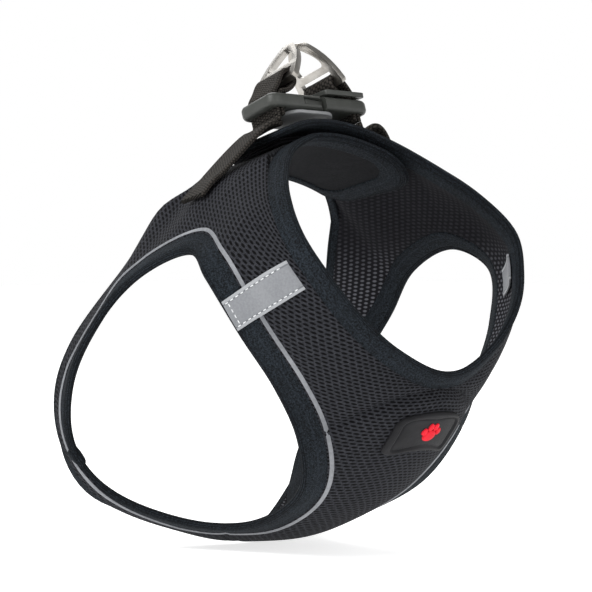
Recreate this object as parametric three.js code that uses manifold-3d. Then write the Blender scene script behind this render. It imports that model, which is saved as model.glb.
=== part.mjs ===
// Step-in harness vest for a small dog, size M, in the shape that it takes when worn.
//
// Frame: +Z up, the dog's nose points to -Y and its left side is +X. Z = 0 is the lowest point of
// the chest, and Y = 0 lies under the two leash rings. All sizes are millimetres.
//
// Each side of the vest is one ruled shell between the edge of the leg hole and the outer edges of
// the cloth: the neck edge, the centre line of the chest, the rear edge and the root of the back
// flap. Leg band, piping, mesh, lining, neck band and rear binding are strips of that one shell, so
// they follow each other whatever size changes. The left flap closes over the right one on the
// back, and two webbing straps, a side-release buckle and two cast rings close the vest on top.
import * as THREE from 'three';
import Module from 'manifold-3d';
import { mergeVertices } from 'three/addons/utils/BufferGeometryUtils.js';

const wasm = await Module();
wasm.setup();

// ---------------------------------------------------------------- driving dimensions
const BODY_HALF_WIDTH = 79;      // centre line to the widest point of a leg hole
const BODY_LENGTH = 137;         // chest point to the rearmost point of the rear edge
const BODY_HEIGHT = 157;         // chest bottom to the crown of the back
const CLEARANCE = 0.3;           // between pieces that touch on the real vest

const LEG_BAND_WIDTH = 11;       // knit band round each leg hole
const NECK_BAND_WIDTH = 9;       // knit band along the neck edge
const REAR_BINDING_WIDTH = 3.5;  // bound rear edge
const BAND_THICKNESS = 3;        // folded knit bands and bindings
const MESH_THICKNESS = 1.5;      // air mesh
const LINING_THICKNESS = 1;      // lining behind the mesh
const PIPING_RADIUS = 0.95;      // reflective piping
const PIPING_LIFT = 0.9;         // how far its centre stands out of the shell
const PANEL_BULGE = 0.09;        // outward bow of the cloth, as a share of its span
const CHEST_FLATNESS = 0.55;     // how far the chest runs level before it turns up to the seams
const LEG_BAND_SHARE = 0.6;      // most of a narrow strip of cloth that its leg band may take

const OUTER_FLAP_REACH = 26;     // how far the left flap passes the centre line
const INNER_FLAP_REACH = 42;     // the same for the right flap, underneath
const FLAP_THICKNESS = 2;
const FLAP_STACK = 5.4;          // between the middles of the two closed flaps
const OUTER_FLAP_CORNERS = { front: 12, rear: 12 };
const INNER_FLAP_CORNERS = { front: 20, rear: 11 };
const LOOP_THICKNESS = 0.8;      // loop strip on the inner flap
const HOOK_THICKNESS = 0.6;      // hook strip under the outer flap
const CLOSURE_HALF_LENGTH = 20;  // hook and loop strips, half their length across the back

const TAB_WIDTH = 11.5;          // reflective tape across each shoulder
const TAB_THICKNESS = 0.8;
const TAB_INSIDE_LENGTH = 13;    // its end that shows on the lining
const JOIN_THICKNESS = 1.2;      // extra layer where the ends of a leg band overlap

const BADGE_WIDTH = 31;          // moulded rubber patch on the chest
const BADGE_HEIGHT = 17;
const BADGE_THICKNESS = 1.4;
const MARK_RADIUS = 3.1;         // main pad of the paw mark on the patch
const MARK_THICKNESS = 0.6;

const WEBBING_WIDTH = 15;
const WEBBING_THICKNESS = 1.6;

const BUCKLE_RISE = 10.8;        // middle of the buckle above the crown
const BUCKLE_RAIL = 2;           // beside the webbing, at each end of the buckle's slots
const BUCKLE_THICKNESS = 5.6;
const BUCKLE_WALL = 1.5;         // top and bottom walls of the socket
const BUCKLE_SIDE_WALL = 1.8;
const SOCKET_LENGTH = 18.6;      // housing that takes the prongs
const SOCKET_MOUTH = 2.2;        // X of the open end
const WINDOW_LENGTH = 11;        // side windows, open towards the mouth
const BAR_LENGTH = 3.2;          // end bar of each webbing slot
const PRONG_WIDTH = 2.6;
const TONGUE_LENGTH = 15;
const TONGUE_WIDTH = 3;
const THUMB_PLATE_THICKNESS = 1.4;
const THUMB_PLATE_REACH = 9;     // how far it runs under the plug
const THUMB_PLATE_INSET = 1.2;   // from the sides of the buckle
const THUMB_PLATE_CORNER = 6.4;
const SLIDER_LENGTH = 20;        // flat webbing slider above the plug
const SLIDER_SLOT = 12;
const SLIDER_RIM = 1.9;
const SLIDER_THICKNESS = 1.8;
const SLIDER_GAP = 0.7;          // between the plug and the nearest edge of the slider
const SLIDER_TILT = THREE.MathUtils.degToRad(6);

const RING_CHEEK = 3.5;          // beside the webbing, at each end of the foot bar
const RING_HEIGHT = 21.4;        // foot of the ring to its apex
const RING_THICKNESS = 2.4;
const RING_BAR = 2.6;            // foot bar that the webbing turns round
const RING_SLOT_HEIGHT = 3.6;
const RING_CROSSBAR = 2.7;
const RING_RIM = 2.5;            // beside the leash window
const RING_GAP = 3.5;            // top of the slider to the middle of the foot bar
const RING_OFFSETS = { right: 11.6, left: 13 }; // foot bars from the centre line
const RING_LEANS = { right: 54, left: 60 };     // degrees above the flat of the back

// The pattern is drawn at this size and graded to the body sizes above.
const DRAFT_HALF_WIDTH = 79;
const DRAFT_LENGTH = 137;
const DRAFT_HEIGHT = 157;

// ---------------------------------------------------------------- pattern curves, left side
const LEG_HOLE = [
  [70, -14, 110], [75, -27, 102], [66, -35, 82], [53, -39, 63], [43, -40, 45], [33, -31, 26],
  [27, 0, 11], [34, 24, 10], [51, 46, 20], [66, 52, 37], [76, 43, 62], [78, 28, 83], [73, 11, 101],
];
const NECK_EDGE = [
  [32, -25, 147], [49, -43, 131], [55, -56, 117], [50, -64, 103], [42, -69, 91], [25, -73, 77],
  [0, -75, 68],
];
const REAR_EDGE = [
  [32, 21, 136.5], [43, 27, 127], [50, 36, 109], [65, 54, 77], [68, 60, 59], [65, 61, 40],
  [54, 57, 21], [40, 51, 12], [14, 38, 3], [0, 32, 1],
];
const CHEST_LINE = [
  [0, -75, 68], [0, -62, 48], [0, -47, 32], [0, -33, 20], [0, -16, 11], [0, 1, 5], [0, 32, 1],
];
const CROWN_FRONT = [0, -17, 155];
const CROWN_REAR = [0, 20, 141];

// Places on the leg hole, counted in its points, that face the corners of the cloth.
const HOLE_AT_CHEST_FRONT = 4;
const HOLE_AT_CHEST_REAR = 6.6;
const HOLE_AT_FLAP_REAR = 12;
const HOLE_END = LEG_HOLE.length;

const NECK_STEPS = 13;
const CHEST_STEPS = 11;
const REAR_STEPS = 17;
const FLAP_STEPS = 5;
const PANEL_ROWS = 3;

// ---------------------------------------------------------------- materials
function material(color, roughness, metalness = 0) {
  return new THREE.MeshStandardMaterial({ color, roughness, metalness });
}
const MESH_CLOTH = material(0x26262a, 0.85);
const LINING_CLOTH = material(0x1b1c20, 0.9);
const KNIT = material(0x1c2229, 0.85);
const PIPING = material(0x9a9c9f, 0.5);
const TAPE = material(0x97999c, 0.45);
const WEBBING = material(0x2b2826, 0.8);
const HOOK_AND_LOOP = material(0x141416, 0.95);
const BUCKLE_PLASTIC = material(0x4a4c48, 0.45);
const BADGE_RUBBER = material(0x3a3a3c, 0.6);
const MARK_RUBBER = material(0xe02030, 0.5);
const CAST_METAL = material(0xc2beb8, 0.3, 1);

const vest = new THREE.Group();

function addMesh(name, geometry, look, parent = vest) {
  const mesh = new THREE.Mesh(geometry, look);
  mesh.name = name;
  parent.add(mesh);
  return mesh;
}

// ---------------------------------------------------------------- lofted solids
// A loft joins sections with the same even number of points. An open loft is closed at its ends by
// zipping the two halves of the end section together.
function loft(sections, closed = false) {
  const size = sections[0].length;
  const positions = sections.flat().flatMap((point) => [point.x, point.y, point.z]);
  const index = [];
  const spans = closed ? sections.length : sections.length - 1;
  for (let i = 0; i < spans; i += 1) {
    const here = i * size;
    const next = ((i + 1) % sections.length) * size;
    for (let k = 0; k < size; k += 1) {
      const after = (k + 1) % size;
      index.push(here + k, here + after, next + after, here + k, next + after, next + k);
    }
  }
  if (!closed) {
    const last = (sections.length - 1) * size;
    for (let k = 0; k < size / 2 - 1; k += 1) {
      const a = k;
      const b = k + 1;
      const c = size - 2 - k;
      const d = size - 1 - k;
      index.push(a, c, b, a, d, c);
      index.push(last + a, last + b, last + c, last + a, last + c, last + d);
    }
  }
  return outward(positions, index);
}

// Turns every face over when the solid came out inside out.
function outward(positions, index) {
  let volume = 0;
  const corner = [new THREE.Vector3(), new THREE.Vector3(), new THREE.Vector3()];
  for (let i = 0; i < index.length; i += 3) {
    corner.forEach((point, k) => point.fromArray(positions, index[i + k] * 3));
    volume += corner[0].dot(corner[1].clone().cross(corner[2]));
  }
  if (volume < 0) index.reverse();
  const geometry = new THREE.BufferGeometry();
  geometry.setAttribute('position', new THREE.Float32BufferAttribute(positions, 3));
  geometry.setIndex(index);
  geometry.computeVertexNormals();
  return geometry;
}

// A place on the cloth is a point with its outward normal.
function lifted(place, height) {
  return place.point.clone().addScaledVector(place.normal, height);
}

// Cloth of even thickness: columns[i] lists the places across the cloth at station i.
function clothSolid(columns, low, high, closed = false) {
  const sections = columns.map((places) => {
    const top = places.map((place) => lifted(place, high));
    const bottom = places.map((place) => lifted(place, low)).reverse();
    return [...top, ...bottom];
  });
  return loft(sections, closed);
}

// ---------------------------------------------------------------- shell of one side
function graded([x, y, z]) {
  return new THREE.Vector3(
    (x * BODY_HALF_WIDTH) / DRAFT_HALF_WIDTH,
    (y * BODY_LENGTH) / DRAFT_LENGTH,
    (z * BODY_HEIGHT) / DRAFT_HEIGHT,
  );
}

function curveThrough(points, closed = false) {
  return new THREE.CatmullRomCurve3(points.map(graded), closed, 'centripetal');
}

const holeCurve = curveThrough(LEG_HOLE, true);
const neckCurve = curveThrough(acrossCentre(NECK_EDGE));
const rearCurve = curveThrough(acrossCentre(REAR_EDGE));
const chestCurve = curveThrough(CHEST_LINE);

// An edge that crosses the centre plane goes on as its own mirror image, so it turns smoothly there.
function acrossCentre(points) {
  const otherSide = points.slice(0, -1).reverse().map(([x, y, z]) => [-x, y, z]);
  return [...points, ...otherSide];
}

function holePoint(place) {
  return holeCurve.getPoint((place / HOLE_END) % 1);
}

// The part of a direction that runs square to the edge, so that a band keeps its width.
function squareTo(direction, tangent) {
  return direction.clone().addScaledVector(tangent, -direction.dot(tangent)).normalize();
}

// Stations along the left half of one edge, each facing its own point of the leg hole.
function edgeStations(curve, steps, holeFrom, holeTo, width, reversed = false) {
  const stations = [];
  for (let i = 0; i <= steps; i += 1) {
    const share = i / steps;
    const along = (reversed ? 1 - share : share) / 2;
    const edge = curve.getPointAt(along);
    const tangent = curve.getTangentAt(along);
    const hole = holePoint(holeFrom + (holeTo - holeFrom) * share);
    const inward = squareTo(hole.clone().sub(edge), tangent);
    const inner = edge.clone().addScaledVector(inward, width);
    const normal = tangent.clone().cross(inward).normalize();
    stations.push({ edge, inner, hole, normal });
  }
  return stations;
}

// The normal of the left side points away from the dog: outward, so mostly to +X and -Y or +Z.
function faceOut(station) {
  const middle = graded([0, -8, 80]);
  const away = station.edge.clone().sub(middle);
  if (station.normal.dot(away) < 0) station.normal.negate();
  return station;
}

// How strongly the cloth runs level across the centre of the chest at the stations nearby.
const CHEST_REACH = 5;
function addChestLevel(stations, fromEnd) {
  stations.forEach((station, i) => {
    const steps = fromEnd ? stations.length - 1 - i : i;
    station.level = THREE.MathUtils.smoothstep(CHEST_REACH - steps, 0, CHEST_REACH);
  });
}

function onCentrePlane(station) {
  station.edge.x = 0;
  station.inner.x = 0;
  station.normal.setX(0).normalize();
}

function sideShell() {
  const neck = edgeStations(neckCurve, NECK_STEPS, 0, HOLE_AT_CHEST_FRONT, NECK_BAND_WIDTH);
  const rear = edgeStations(
    rearCurve, REAR_STEPS, HOLE_AT_CHEST_REAR, HOLE_AT_FLAP_REAR, REAR_BINDING_WIDTH, true,
  );
  neck.forEach(faceOut);
  rear.forEach(faceOut);
  onCentrePlane(neck.at(-1));
  onCentrePlane(rear[0]);
  addChestLevel(neck, true);
  addChestLevel(rear, false);
  const asOuter = ({ inner, ...rest }) => ({ ...rest, outer: inner });
  const outline = [
    ...neck.map(asOuter),
    ...chestStations(neck.at(-1).inner, rear[0].inner),
    ...rear.map(asOuter),
    ...flapRootStations(rear.at(-1), neck[0]),
  ];
  return { neck, rear, outline };
}

// Along the centre of the chest, between the neck band and the rear binding.
function chestStations(front, back) {
  const stations = [];
  const from = closestShare(chestCurve, front);
  const to = closestShare(chestCurve, back);
  for (let i = 1; i < CHEST_STEPS; i += 1) {
    const share = i / CHEST_STEPS;
    const outer = chestCurve.getPointAt(from + (to - from) * share);
    const tangent = chestCurve.getTangentAt(from + (to - from) * share);
    const place = HOLE_AT_CHEST_FRONT + (HOLE_AT_CHEST_REAR - HOLE_AT_CHEST_FRONT) * share;
    const normal = new THREE.Vector3(0, tangent.z, -tangent.y);
    stations.push({ outer, hole: holePoint(place), normal, level: 1 });
  }
  return stations;
}

function closestShare(curve, target) {
  let best = 0;
  const trials = 200;
  for (let i = 0; i <= trials; i += 1) {
    const share = i / trials;
    const gap = curve.getPointAt(share).distanceTo(target);
    if (gap < curve.getPointAt(best).distanceTo(target)) best = share;
  }
  return best;
}

// Across the back, where the flap leaves the side.
function flapRootStations(rearEnd, neckStart) {
  const stations = [];
  const holeSpan = HOLE_END - HOLE_AT_FLAP_REAR;
  for (let i = 1; i < FLAP_STEPS; i += 1) {
    const share = i / FLAP_STEPS;
    const outer = rearEnd.inner.clone().lerp(neckStart.inner, share);
    const normal = rearEnd.normal.clone().lerp(neckStart.normal, share).normalize();
    const hole = holePoint(HOLE_AT_FLAP_REAR + holeSpan * share);
    stations.push({ outer, hole, normal, level: 0 });
  }
  return stations;
}

const shell = sideShell();

// Normals at the leg hole come from its own tangent and the ruling that starts there.
function addHoleNormals(outline) {
  outline.forEach((station, i) => {
    const before = outline.at(i - 1).hole;
    const after = outline[(i + 1) % outline.length].hole;
    const ruling = station.outer.clone().sub(station.hole);
    const normal = after.clone().sub(before).cross(ruling).normalize();
    if (normal.dot(station.normal) < 0) normal.negate();
    station.holeNormal = normal;
    station.length = ruling.length();
    station.bandWidth = Math.min(LEG_BAND_WIDTH, LEG_BAND_SHARE * station.length);
  });
}
addHoleNormals(shell.outline);

function mirrored(vector, side) {
  return new THREE.Vector3(vector.x * side, vector.y, vector.z);
}

// The place that lies a distance from the leg hole along one station's ruling. The leg band is
// straight across, and the cloth beyond it bows out, or runs level to the centre of the chest.
function shellPlace(station, distance, side) {
  const share = distance / station.length;
  const point = station.hole.clone().lerp(station.outer, share);
  const normal = station.holeNormal.clone().lerp(station.normal, share).normalize();
  const clothSpan = station.length - station.bandWidth;
  const across = THREE.MathUtils.clamp((distance - station.bandWidth) / clothSpan, 0, 1);
  const seam = station.hole.clone().lerp(station.outer, station.bandWidth / station.length);
  const middle = seam.clone().lerp(station.outer, 0.5);
  const bowed = middle.clone().addScaledVector(normal, 2 * PANEL_BULGE * clothSpan);
  const level = station.outer.clone();
  level.x = THREE.MathUtils.lerp(station.outer.x, seam.x, CHEST_FLATNESS);
  const pull = bowed.lerp(level, station.level).sub(middle);
  point.addScaledVector(pull, 2 * across * (1 - across));
  return { point: mirrored(point, side), normal: mirrored(normal, side) };
}

function between(stations, place) {
  const low = Math.floor(place);
  const a = stations[low];
  const b = stations[Math.min(low + 1, stations.length - 1)];
  const share = place - low;
  return {
    hole: a.hole.clone().lerp(b.hole, share),
    outer: a.outer.clone().lerp(b.outer, share),
    normal: a.normal.clone().lerp(b.normal, share).normalize(),
    holeNormal: a.holeNormal.clone().lerp(b.holeNormal, share).normalize(),
    length: THREE.MathUtils.lerp(a.length, b.length, share),
    bandWidth: THREE.MathUtils.lerp(a.bandWidth, b.bandWidth, share),
    level: THREE.MathUtils.lerp(a.level, b.level, share),
  };
}

// ---------------------------------------------------------------- cloth of one side
const SEAM = PIPING_RADIUS + CLEARANCE;

function legBand(side) {
  const columns = shell.outline.map((station) => [
    shellPlace(station, 0, side),
    shellPlace(station, station.bandWidth - SEAM, side),
  ]);
  return clothSolid(columns, -BAND_THICKNESS / 2, BAND_THICKNESS / 2, true);
}

function legPiping(side) {
  const corners = 6;
  const sections = shell.outline.map((station) => {
    const place = shellPlace(station, station.bandWidth, side);
    const across = mirrored(station.outer.clone().sub(station.hole).normalize(), side);
    const centre = lifted(place, PIPING_LIFT);
    return Array.from({ length: corners }, (_, k) => {
      const angle = (k / corners) * Math.PI * 2;
      return centre.clone()
        .addScaledVector(place.normal, PIPING_RADIUS * Math.sin(angle))
        .addScaledVector(across, PIPING_RADIUS * Math.cos(angle));
    });
  });
  return loft(sections, true);
}

function sidePanel(side, low, high) {
  const columns = shell.outline.map((station) => {
    const from = station.bandWidth + SEAM;
    const to = station.length - 2 * CLEARANCE;
    return Array.from({ length: PANEL_ROWS + 1 }, (_, row) => (
      shellPlace(station, from + ((to - from) * row) / PANEL_ROWS, side)
    ));
  });
  return clothSolid(columns, low, high, true);
}

// Neck band or rear binding: from the free edge to the seam with the mesh.
function edgeBand(stations, side) {
  const columns = stations.map(({ edge, inner, normal }) => [edge, inner].map((point) => ({
    point: mirrored(keepOffCentre(point), side),
    normal: mirrored(normal, side),
  })));
  return clothSolid(columns, -BAND_THICKNESS / 2, BAND_THICKNESS / 2);
}

function keepOffCentre(point) {
  return new THREE.Vector3(Math.max(point.x, CLEARANCE / 2), point.y, point.z);
}

// ---------------------------------------------------------------- reflective tapes
// Places in the outline where the tape starts at the leg hole and ends at the neck band.
const TAB_AT_HOLE = 5.5;
const TAB_AT_NECK = 5.9;

// Half the tape's width, counted in stations, at its end on the leg band or on the neck band.
function tabHalfStations(share) {
  const at = Math.round(THREE.MathUtils.lerp(TAB_AT_HOLE, TAB_AT_NECK, share));
  const gaps = ['hole', 'outer'].map((end) => (
    shell.outline[at][end].distanceTo(shell.outline[at + 1][end])
  ));
  return TAB_WIDTH / 2 / THREE.MathUtils.lerp(gaps[0], gaps[1], share);
}

function tapeColumns(side, distances) {
  const columns = [];
  const cuts = 4;
  for (let i = 0; i <= cuts; i += 1) {
    const offset = (2 * i) / cuts - 1;
    columns.push(distances.map((share) => {
      const centre = THREE.MathUtils.lerp(TAB_AT_HOLE, TAB_AT_NECK, share);
      const station = between(shell.outline, centre + offset * tabHalfStations(share));
      return shellPlace(station, 1 + (station.length - 1 - CLEARANCE) * share, side);
    }));
  }
  return columns;
}

function tapeOutside(side) {
  const low = PIPING_LIFT + PIPING_RADIUS + 2 * CLEARANCE;
  return clothSolid(tapeColumns(side, [0, 0.2, 0.4, 0.6, 0.8, 1]), low, low + TAB_THICKNESS);
}

function tapeInside(side) {
  const station = shell.outline[Math.round(TAB_AT_NECK)];
  const from = 1 - TAB_INSIDE_LENGTH / station.length;
  const high = -BAND_THICKNESS / 2 - CLEARANCE;
  return clothSolid(tapeColumns(side, [from, (from + 1) / 2, 1]), high - TAB_THICKNESS, high);
}

// ---------------------------------------------------------------- join of the leg band
// The band's ends overlap in a short extra layer low on the rear of the leg hole.
const JOIN_STATION = NECK_STEPS + CHEST_STEPS + 8;
const JOIN_HALF_STATIONS = 0.6;

function bandJoin(side) {
  const columns = [-1, 0, 1].map((end) => {
    const station = between(shell.outline, JOIN_STATION + end * JOIN_HALF_STATIONS);
    return [
      shellPlace(station, CLEARANCE, side),
      shellPlace(station, station.bandWidth - SEAM - CLEARANCE, side),
    ];
  });
  const low = BAND_THICKNESS / 2 + CLEARANCE;
  return clothSolid(columns, low, low + JOIN_THICKNESS);
}

// ---------------------------------------------------------------- back flaps
// One arch crosses the back from root to root; share runs from its neck edge to its rear edge.
const archFront = { crown: graded(CROWN_FRONT), root: shell.neck[0].edge };
const archRear = { crown: graded(CROWN_REAR), root: shell.rear.at(-1).edge };
const flapRoot = archFront.root.x; // where the back flaps leave the sides, from the centre line
const ROOT_GAP = 2 * CLEARANCE;

function archEdge({ crown, root }, x) {
  const turn = (x / root.x) ** 2;
  return new THREE.Vector3(
    x, THREE.MathUtils.lerp(crown.y, root.y, turn), THREE.MathUtils.lerp(crown.z, root.z, turn),
  );
}

function archPoint(x, share) {
  return archEdge(archFront, x).lerp(archEdge(archRear, x), share);
}

function archPlace(x, distance) {
  const step = 0.5; // either side of x, to find the slope
  const width = archEdge(archFront, x).distanceTo(archEdge(archRear, x));
  const share = distance / width;
  const along = archPoint(x + step, share).sub(archPoint(x - step, share));
  const across = archPoint(x, 1).sub(archPoint(x, 0));
  return { point: archPoint(x, share), normal: along.cross(across).normalize(), width };
}

// A flap leaves its root level with the side and passes the other flap at an even distance.
// side +1 is the left flap, which ends up on top; -1 is the right one underneath.
function flapPlace(side, reach, distance) {
  const x = side * (flapRoot - ROOT_GAP - reach);
  const place = archPlace(x, distance);
  const travel = 1 - (side * x) / flapRoot;
  return { ...place, point: lifted(place, side * (FLAP_STACK / 2) * travel) };
}

const LEAST_CORNER = 3; // at the inside of a band

// Half of a flap's rounded end, from the root to the tip, at a distance inside the cut edge.
// Each entry is how far it reaches from the root and how far it lies from the cut edge.
function flapOutline(length, inset, tipInset, corner) {
  const radius = Math.max(corner - Math.min(inset, tipInset), LEAST_CORNER);
  const straight = length - tipInset - radius;
  const points = [];
  const straightSteps = 6;
  const turnSteps = 4;
  for (let i = 0; i < straightSteps; i += 1) {
    points.push([(straight * i) / straightSteps, inset]);
  }
  for (let i = 0; i <= turnSteps; i += 1) {
    const angle = ((Math.PI / 2) * i) / turnSteps;
    points.push([straight + radius * Math.sin(angle), inset + radius * (1 - Math.cos(angle))]);
  }
  return points;
}

function flapEdges(side, { reach: tipReach, corners }, frontInset, rearInset, tipInset) {
  const length = flapRoot + tipReach - ROOT_GAP;
  const front = flapOutline(length, frontInset, tipInset, corners.front);
  const rear = flapOutline(length, rearInset, tipInset, corners.rear);
  const widthAt = (reach) => archPlace(side * (flapRoot - reach), 0).width;
  return {
    front: front.map(([reach, inset]) => flapPlace(side, reach, inset)),
    rear: rear.map(([reach, inset]) => flapPlace(side, reach, widthAt(reach) - inset)),
  };
}

function flapBand(side, cut) {
  const outer = flapEdges(side, cut, 0, 0, 0);
  const inner = flapEdges(side, cut, NECK_BAND_WIDTH, REAR_BINDING_WIDTH, NECK_BAND_WIDTH);
  const outerLine = [...outer.front, ...outer.rear.reverse()];
  const innerLine = [...inner.front, ...inner.rear.reverse()];
  const columns = outerLine.map((place, i) => [place, innerLine[i]]);
  return clothSolid(columns, -BAND_THICKNESS / 2, BAND_THICKNESS / 2);
}

function flapPanel(side, cut) {
  const { front, rear } = flapEdges(
    side, cut, NECK_BAND_WIDTH + CLEARANCE, REAR_BINDING_WIDTH + CLEARANCE,
    NECK_BAND_WIDTH + CLEARANCE,
  );
  const columns = front.map((place, i) => [place, rear[i]]);
  return clothSolid(columns, -FLAP_THICKNESS / 2, FLAP_THICKNESS / 2);
}

// Hook or loop strip on one flap, between the flap's bindings.
function closureStrip(side, low, high) {
  const columns = [];
  const steps = 8;
  const rim = 2;
  for (let i = 0; i <= steps; i += 1) {
    const x = CLOSURE_HALF_LENGTH * ((2 * i) / steps - 1);
    const reach = flapRoot - ROOT_GAP - side * x;
    const { width } = archPlace(x, 0);
    columns.push([
      flapPlace(side, reach, NECK_BAND_WIDTH + rim),
      flapPlace(side, reach, width - REAR_BINDING_WIDTH - rim),
    ]);
  }
  return clothSolid(columns, low, high);
}

// ---------------------------------------------------------------- chest patch
const BADGE_AT = NECK_STEPS + 0.65; // place of the patch's upper edge in the outline
const CORNER_DROP = 0.45;           // how much of its half height a corner of the patch loses
const BADGE_STATIONS = BADGE_HEIGHT / stationGap(NECK_STEPS + 1);
const BADGE_CORNER = 0.2;           // rounded share of its half width
const MARK_CORNER = 0.6;

function stationGap(station) {
  return shell.outline[station].outer.distanceTo(shell.outline[station + 1].outer);
}

// Place on the chest at a signed distance across from the centre line.
function chestPlace(across, station) {
  const reach = Math.abs(across);
  const side = across < 0 ? -1 : 1;
  const { outer, hole } = station;
  const distance = station.length * (1 - reach / (hole.x - outer.x));
  const place = shellPlace(station, distance, side);
  place.point.x = across;
  return place;
}

function chestPatch(width, from, to, low, high, cornerShare) {
  const columns = [];
  const steps = 8;
  const rows = 3;
  for (let i = 0; i <= steps; i += 1) {
    const across = (width / 2) * ((2 * i) / steps - 1);
    const end = Math.max(0, Math.abs(across) / (width / 2) - (1 - cornerShare)) / cornerShare;
    const shrink = ((to - from) / 2) * CORNER_DROP * (1 - Math.sqrt(1 - end ** 2));
    const column = [];
    for (let row = 0; row <= rows; row += 1) {
      const at = THREE.MathUtils.lerp(from + shrink, to - shrink, row / rows);
      column.push(chestPlace(across, between(shell.outline, at)));
    }
    columns.push(column);
  }
  return clothSolid(columns, low, high);
}

// ---------------------------------------------------------------- frame of the back hardware
// It sits on the crown, pitched with the slope of the back.
const crownSlope = graded(CROWN_REAR).sub(graded(CROWN_FRONT));
const BACK_PITCH = Math.atan2(crownSlope.z, crownSlope.y);
const BACK_ROLL = THREE.MathUtils.degToRad(3);
const BACK_SHARE = 0.34; // from the neck edge of the back to its rear edge
const FLAP_TOP = 1.2;    // above the middle of the closed flaps

const back = new THREE.Group();
back.position.copy(archPoint(0, BACK_SHARE)).add(new THREE.Vector3(0, 0, FLAP_TOP));
back.rotation.set(BACK_PITCH, BACK_ROLL, 0);
back.updateMatrix();
vest.add(back);

function onBack(x, y, z) {
  return new THREE.Vector3(x, y, z).applyMatrix4(back.matrix);
}
const backAcross = onBack(0, 1, 0).sub(onBack(0, 0, 0));

// ---------------------------------------------------------------- webbing
// A flat ribbon along a path, its width as square to the path as the hardware allows.
function ribbon(points, steps) {
  const path = new THREE.CatmullRomCurve3(points, false, 'centripetal');
  const sections = [];
  for (let i = 0; i <= steps; i += 1) {
    const centre = path.getPointAt(i / steps);
    const tangent = path.getTangentAt(i / steps);
    const across = squareTo(backAcross, tangent).multiplyScalar(WEBBING_WIDTH / 2);
    const up = tangent.clone().cross(across).setLength(WEBBING_THICKNESS / 2);
    sections.push([
      centre.clone().sub(across).add(up),
      centre.clone().add(across).add(up),
      centre.clone().add(across).sub(up),
      centre.clone().sub(across).sub(up),
    ]);
  }
  return loft(sections);
}

// Heights and half sizes of the hardware that the webbing passes through.
const HALF_BUCKLE = WEBBING_WIDTH / 2 + BUCKLE_RAIL;
const HALF_THICK = BUCKLE_THICKNESS / 2;
const SLOT_HALF = WEBBING_WIDTH / 2 + CLEARANCE;
const SLIDER_RISE = HALF_THICK + SLIDER_GAP + HALF_BUCKLE * Math.sin(SLIDER_TILT)
  + SLIDER_THICKNESS / 2;
const BAR_RISE = BUCKLE_RISE + SLIDER_RISE + SLIDER_THICKNESS / 2 + RING_GAP;

// Two layers of webbing pass each slot, and turn round the foot bar of the ring.
const SLOT_INNER = SOCKET_LENGTH - SOCKET_MOUTH + 2 * CLEARANCE;
const SLOT_OUTER = SLOT_INNER + 2 * WEBBING_THICKNESS + 6 * CLEARANCE;
const OUTER_LAYER = SLOT_OUTER - 2 * CLEARANCE - WEBBING_THICKNESS / 2;
const INNER_LAYER = SLOT_INNER + 2 * CLEARANCE + WEBBING_THICKNESS / 2;
const STRAP_FOOT_DROP = 2.4; // the loop's ends below the buckle
const LOOP_FOOT = BUCKLE_RISE - HALF_THICK - STRAP_FOOT_DROP;
const BAR_REACH = Math.hypot(RING_BAR / 2, RING_THICKNESS / 2);
const TURN = BAR_REACH + CLEARANCE + WEBBING_THICKNESS / 2;

// Up through the buckle's slot, round the foot bar of the ring and down again.
function strapLoop(side, bar) {
  const top = BUCKLE_RISE + HALF_THICK;
  const points = [
    [OUTER_LAYER, LOOP_FOOT], [OUTER_LAYER, BUCKLE_RISE], [OUTER_LAYER, top + 0.4],
    [bar + 2 * TURN, BAR_RISE - 0.8 * TURN], [bar + 0.8 * TURN, BAR_RISE + 0.7 * TURN],
    [bar, BAR_RISE + 1.03 * TURN], [bar - 0.97 * TURN, BAR_RISE + 0.3 * TURN],
    [bar - 0.9 * TURN, BAR_RISE - 0.6 * TURN], [bar + 0.4 * TURN, BAR_RISE - 1.6 * TURN],
    [INNER_LAYER - 0.6, top + 0.9], [INNER_LAYER, BUCKLE_RISE], [INNER_LAYER, LOOP_FOOT],
  ];
  return ribbon(points.map(([x, z]) => onBack(side * x, 0, z)), 30);
}

const STRAP_STATION = NECK_STEPS + CHEST_STEPS + REAR_STEPS + 2.4; // its line on the side
const STRAP_SEWN_SHARES = [0.55, 0.67, 0.78]; // of the way from the leg hole to the flap's root
const STRAP_LIFT = 0.5;                      // of the webbing off the cloth
const STRAP_CROSSING = 0.78;                 // where it passes over the flaps, from their root
const STRAP_CROSSING_LIFT = 1.2;             // of the webbing off the flaps there

// Sewn flat on the side of the vest, then free up to the buckle.
function strapLower(side) {
  const height = MESH_THICKNESS + 2 * CLEARANCE + WEBBING_THICKNESS / 2 + STRAP_LIFT;
  const rootPlaces = STRAP_SEWN_SHARES.map((share) => {
    const station = between(shell.outline, STRAP_STATION);
    const place = shellPlace(station, station.length * share, side);
    return lifted(place, height);
  });
  const foot = onBack(side * OUTER_LAYER, 0, LOOP_FOOT - CLEARANCE - 0.1);
  const below = onBack(side * (OUTER_LAYER + 1.2), 0, LOOP_FOOT - 3.5);
  const x = side * STRAP_CROSSING * flapRoot;
  const flap = archPlace(x, archPlace(x, 0).width * BACK_SHARE);
  const stack = FLAP_STACK + BAND_THICKNESS / 2 + WEBBING_THICKNESS / 2;
  const bend = lifted(flap, stack + STRAP_CROSSING_LIFT);
  return ribbon([...rootPlaces, bend, below, foot], 20);
}

// ---------------------------------------------------------------- hard pieces
function toSolid(geometry) {
  const bare = geometry.clone();
  bare.deleteAttribute('normal');
  bare.deleteAttribute('uv');
  const merged = mergeVertices(bare, 1e-4);
  const mesh = new wasm.Mesh({
    numProp: 3,
    vertProperties: new Float32Array(merged.attributes.position.array),
    triVerts: new Uint32Array(merged.index.array),
  });
  return new wasm.Manifold(mesh);
}

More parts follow.
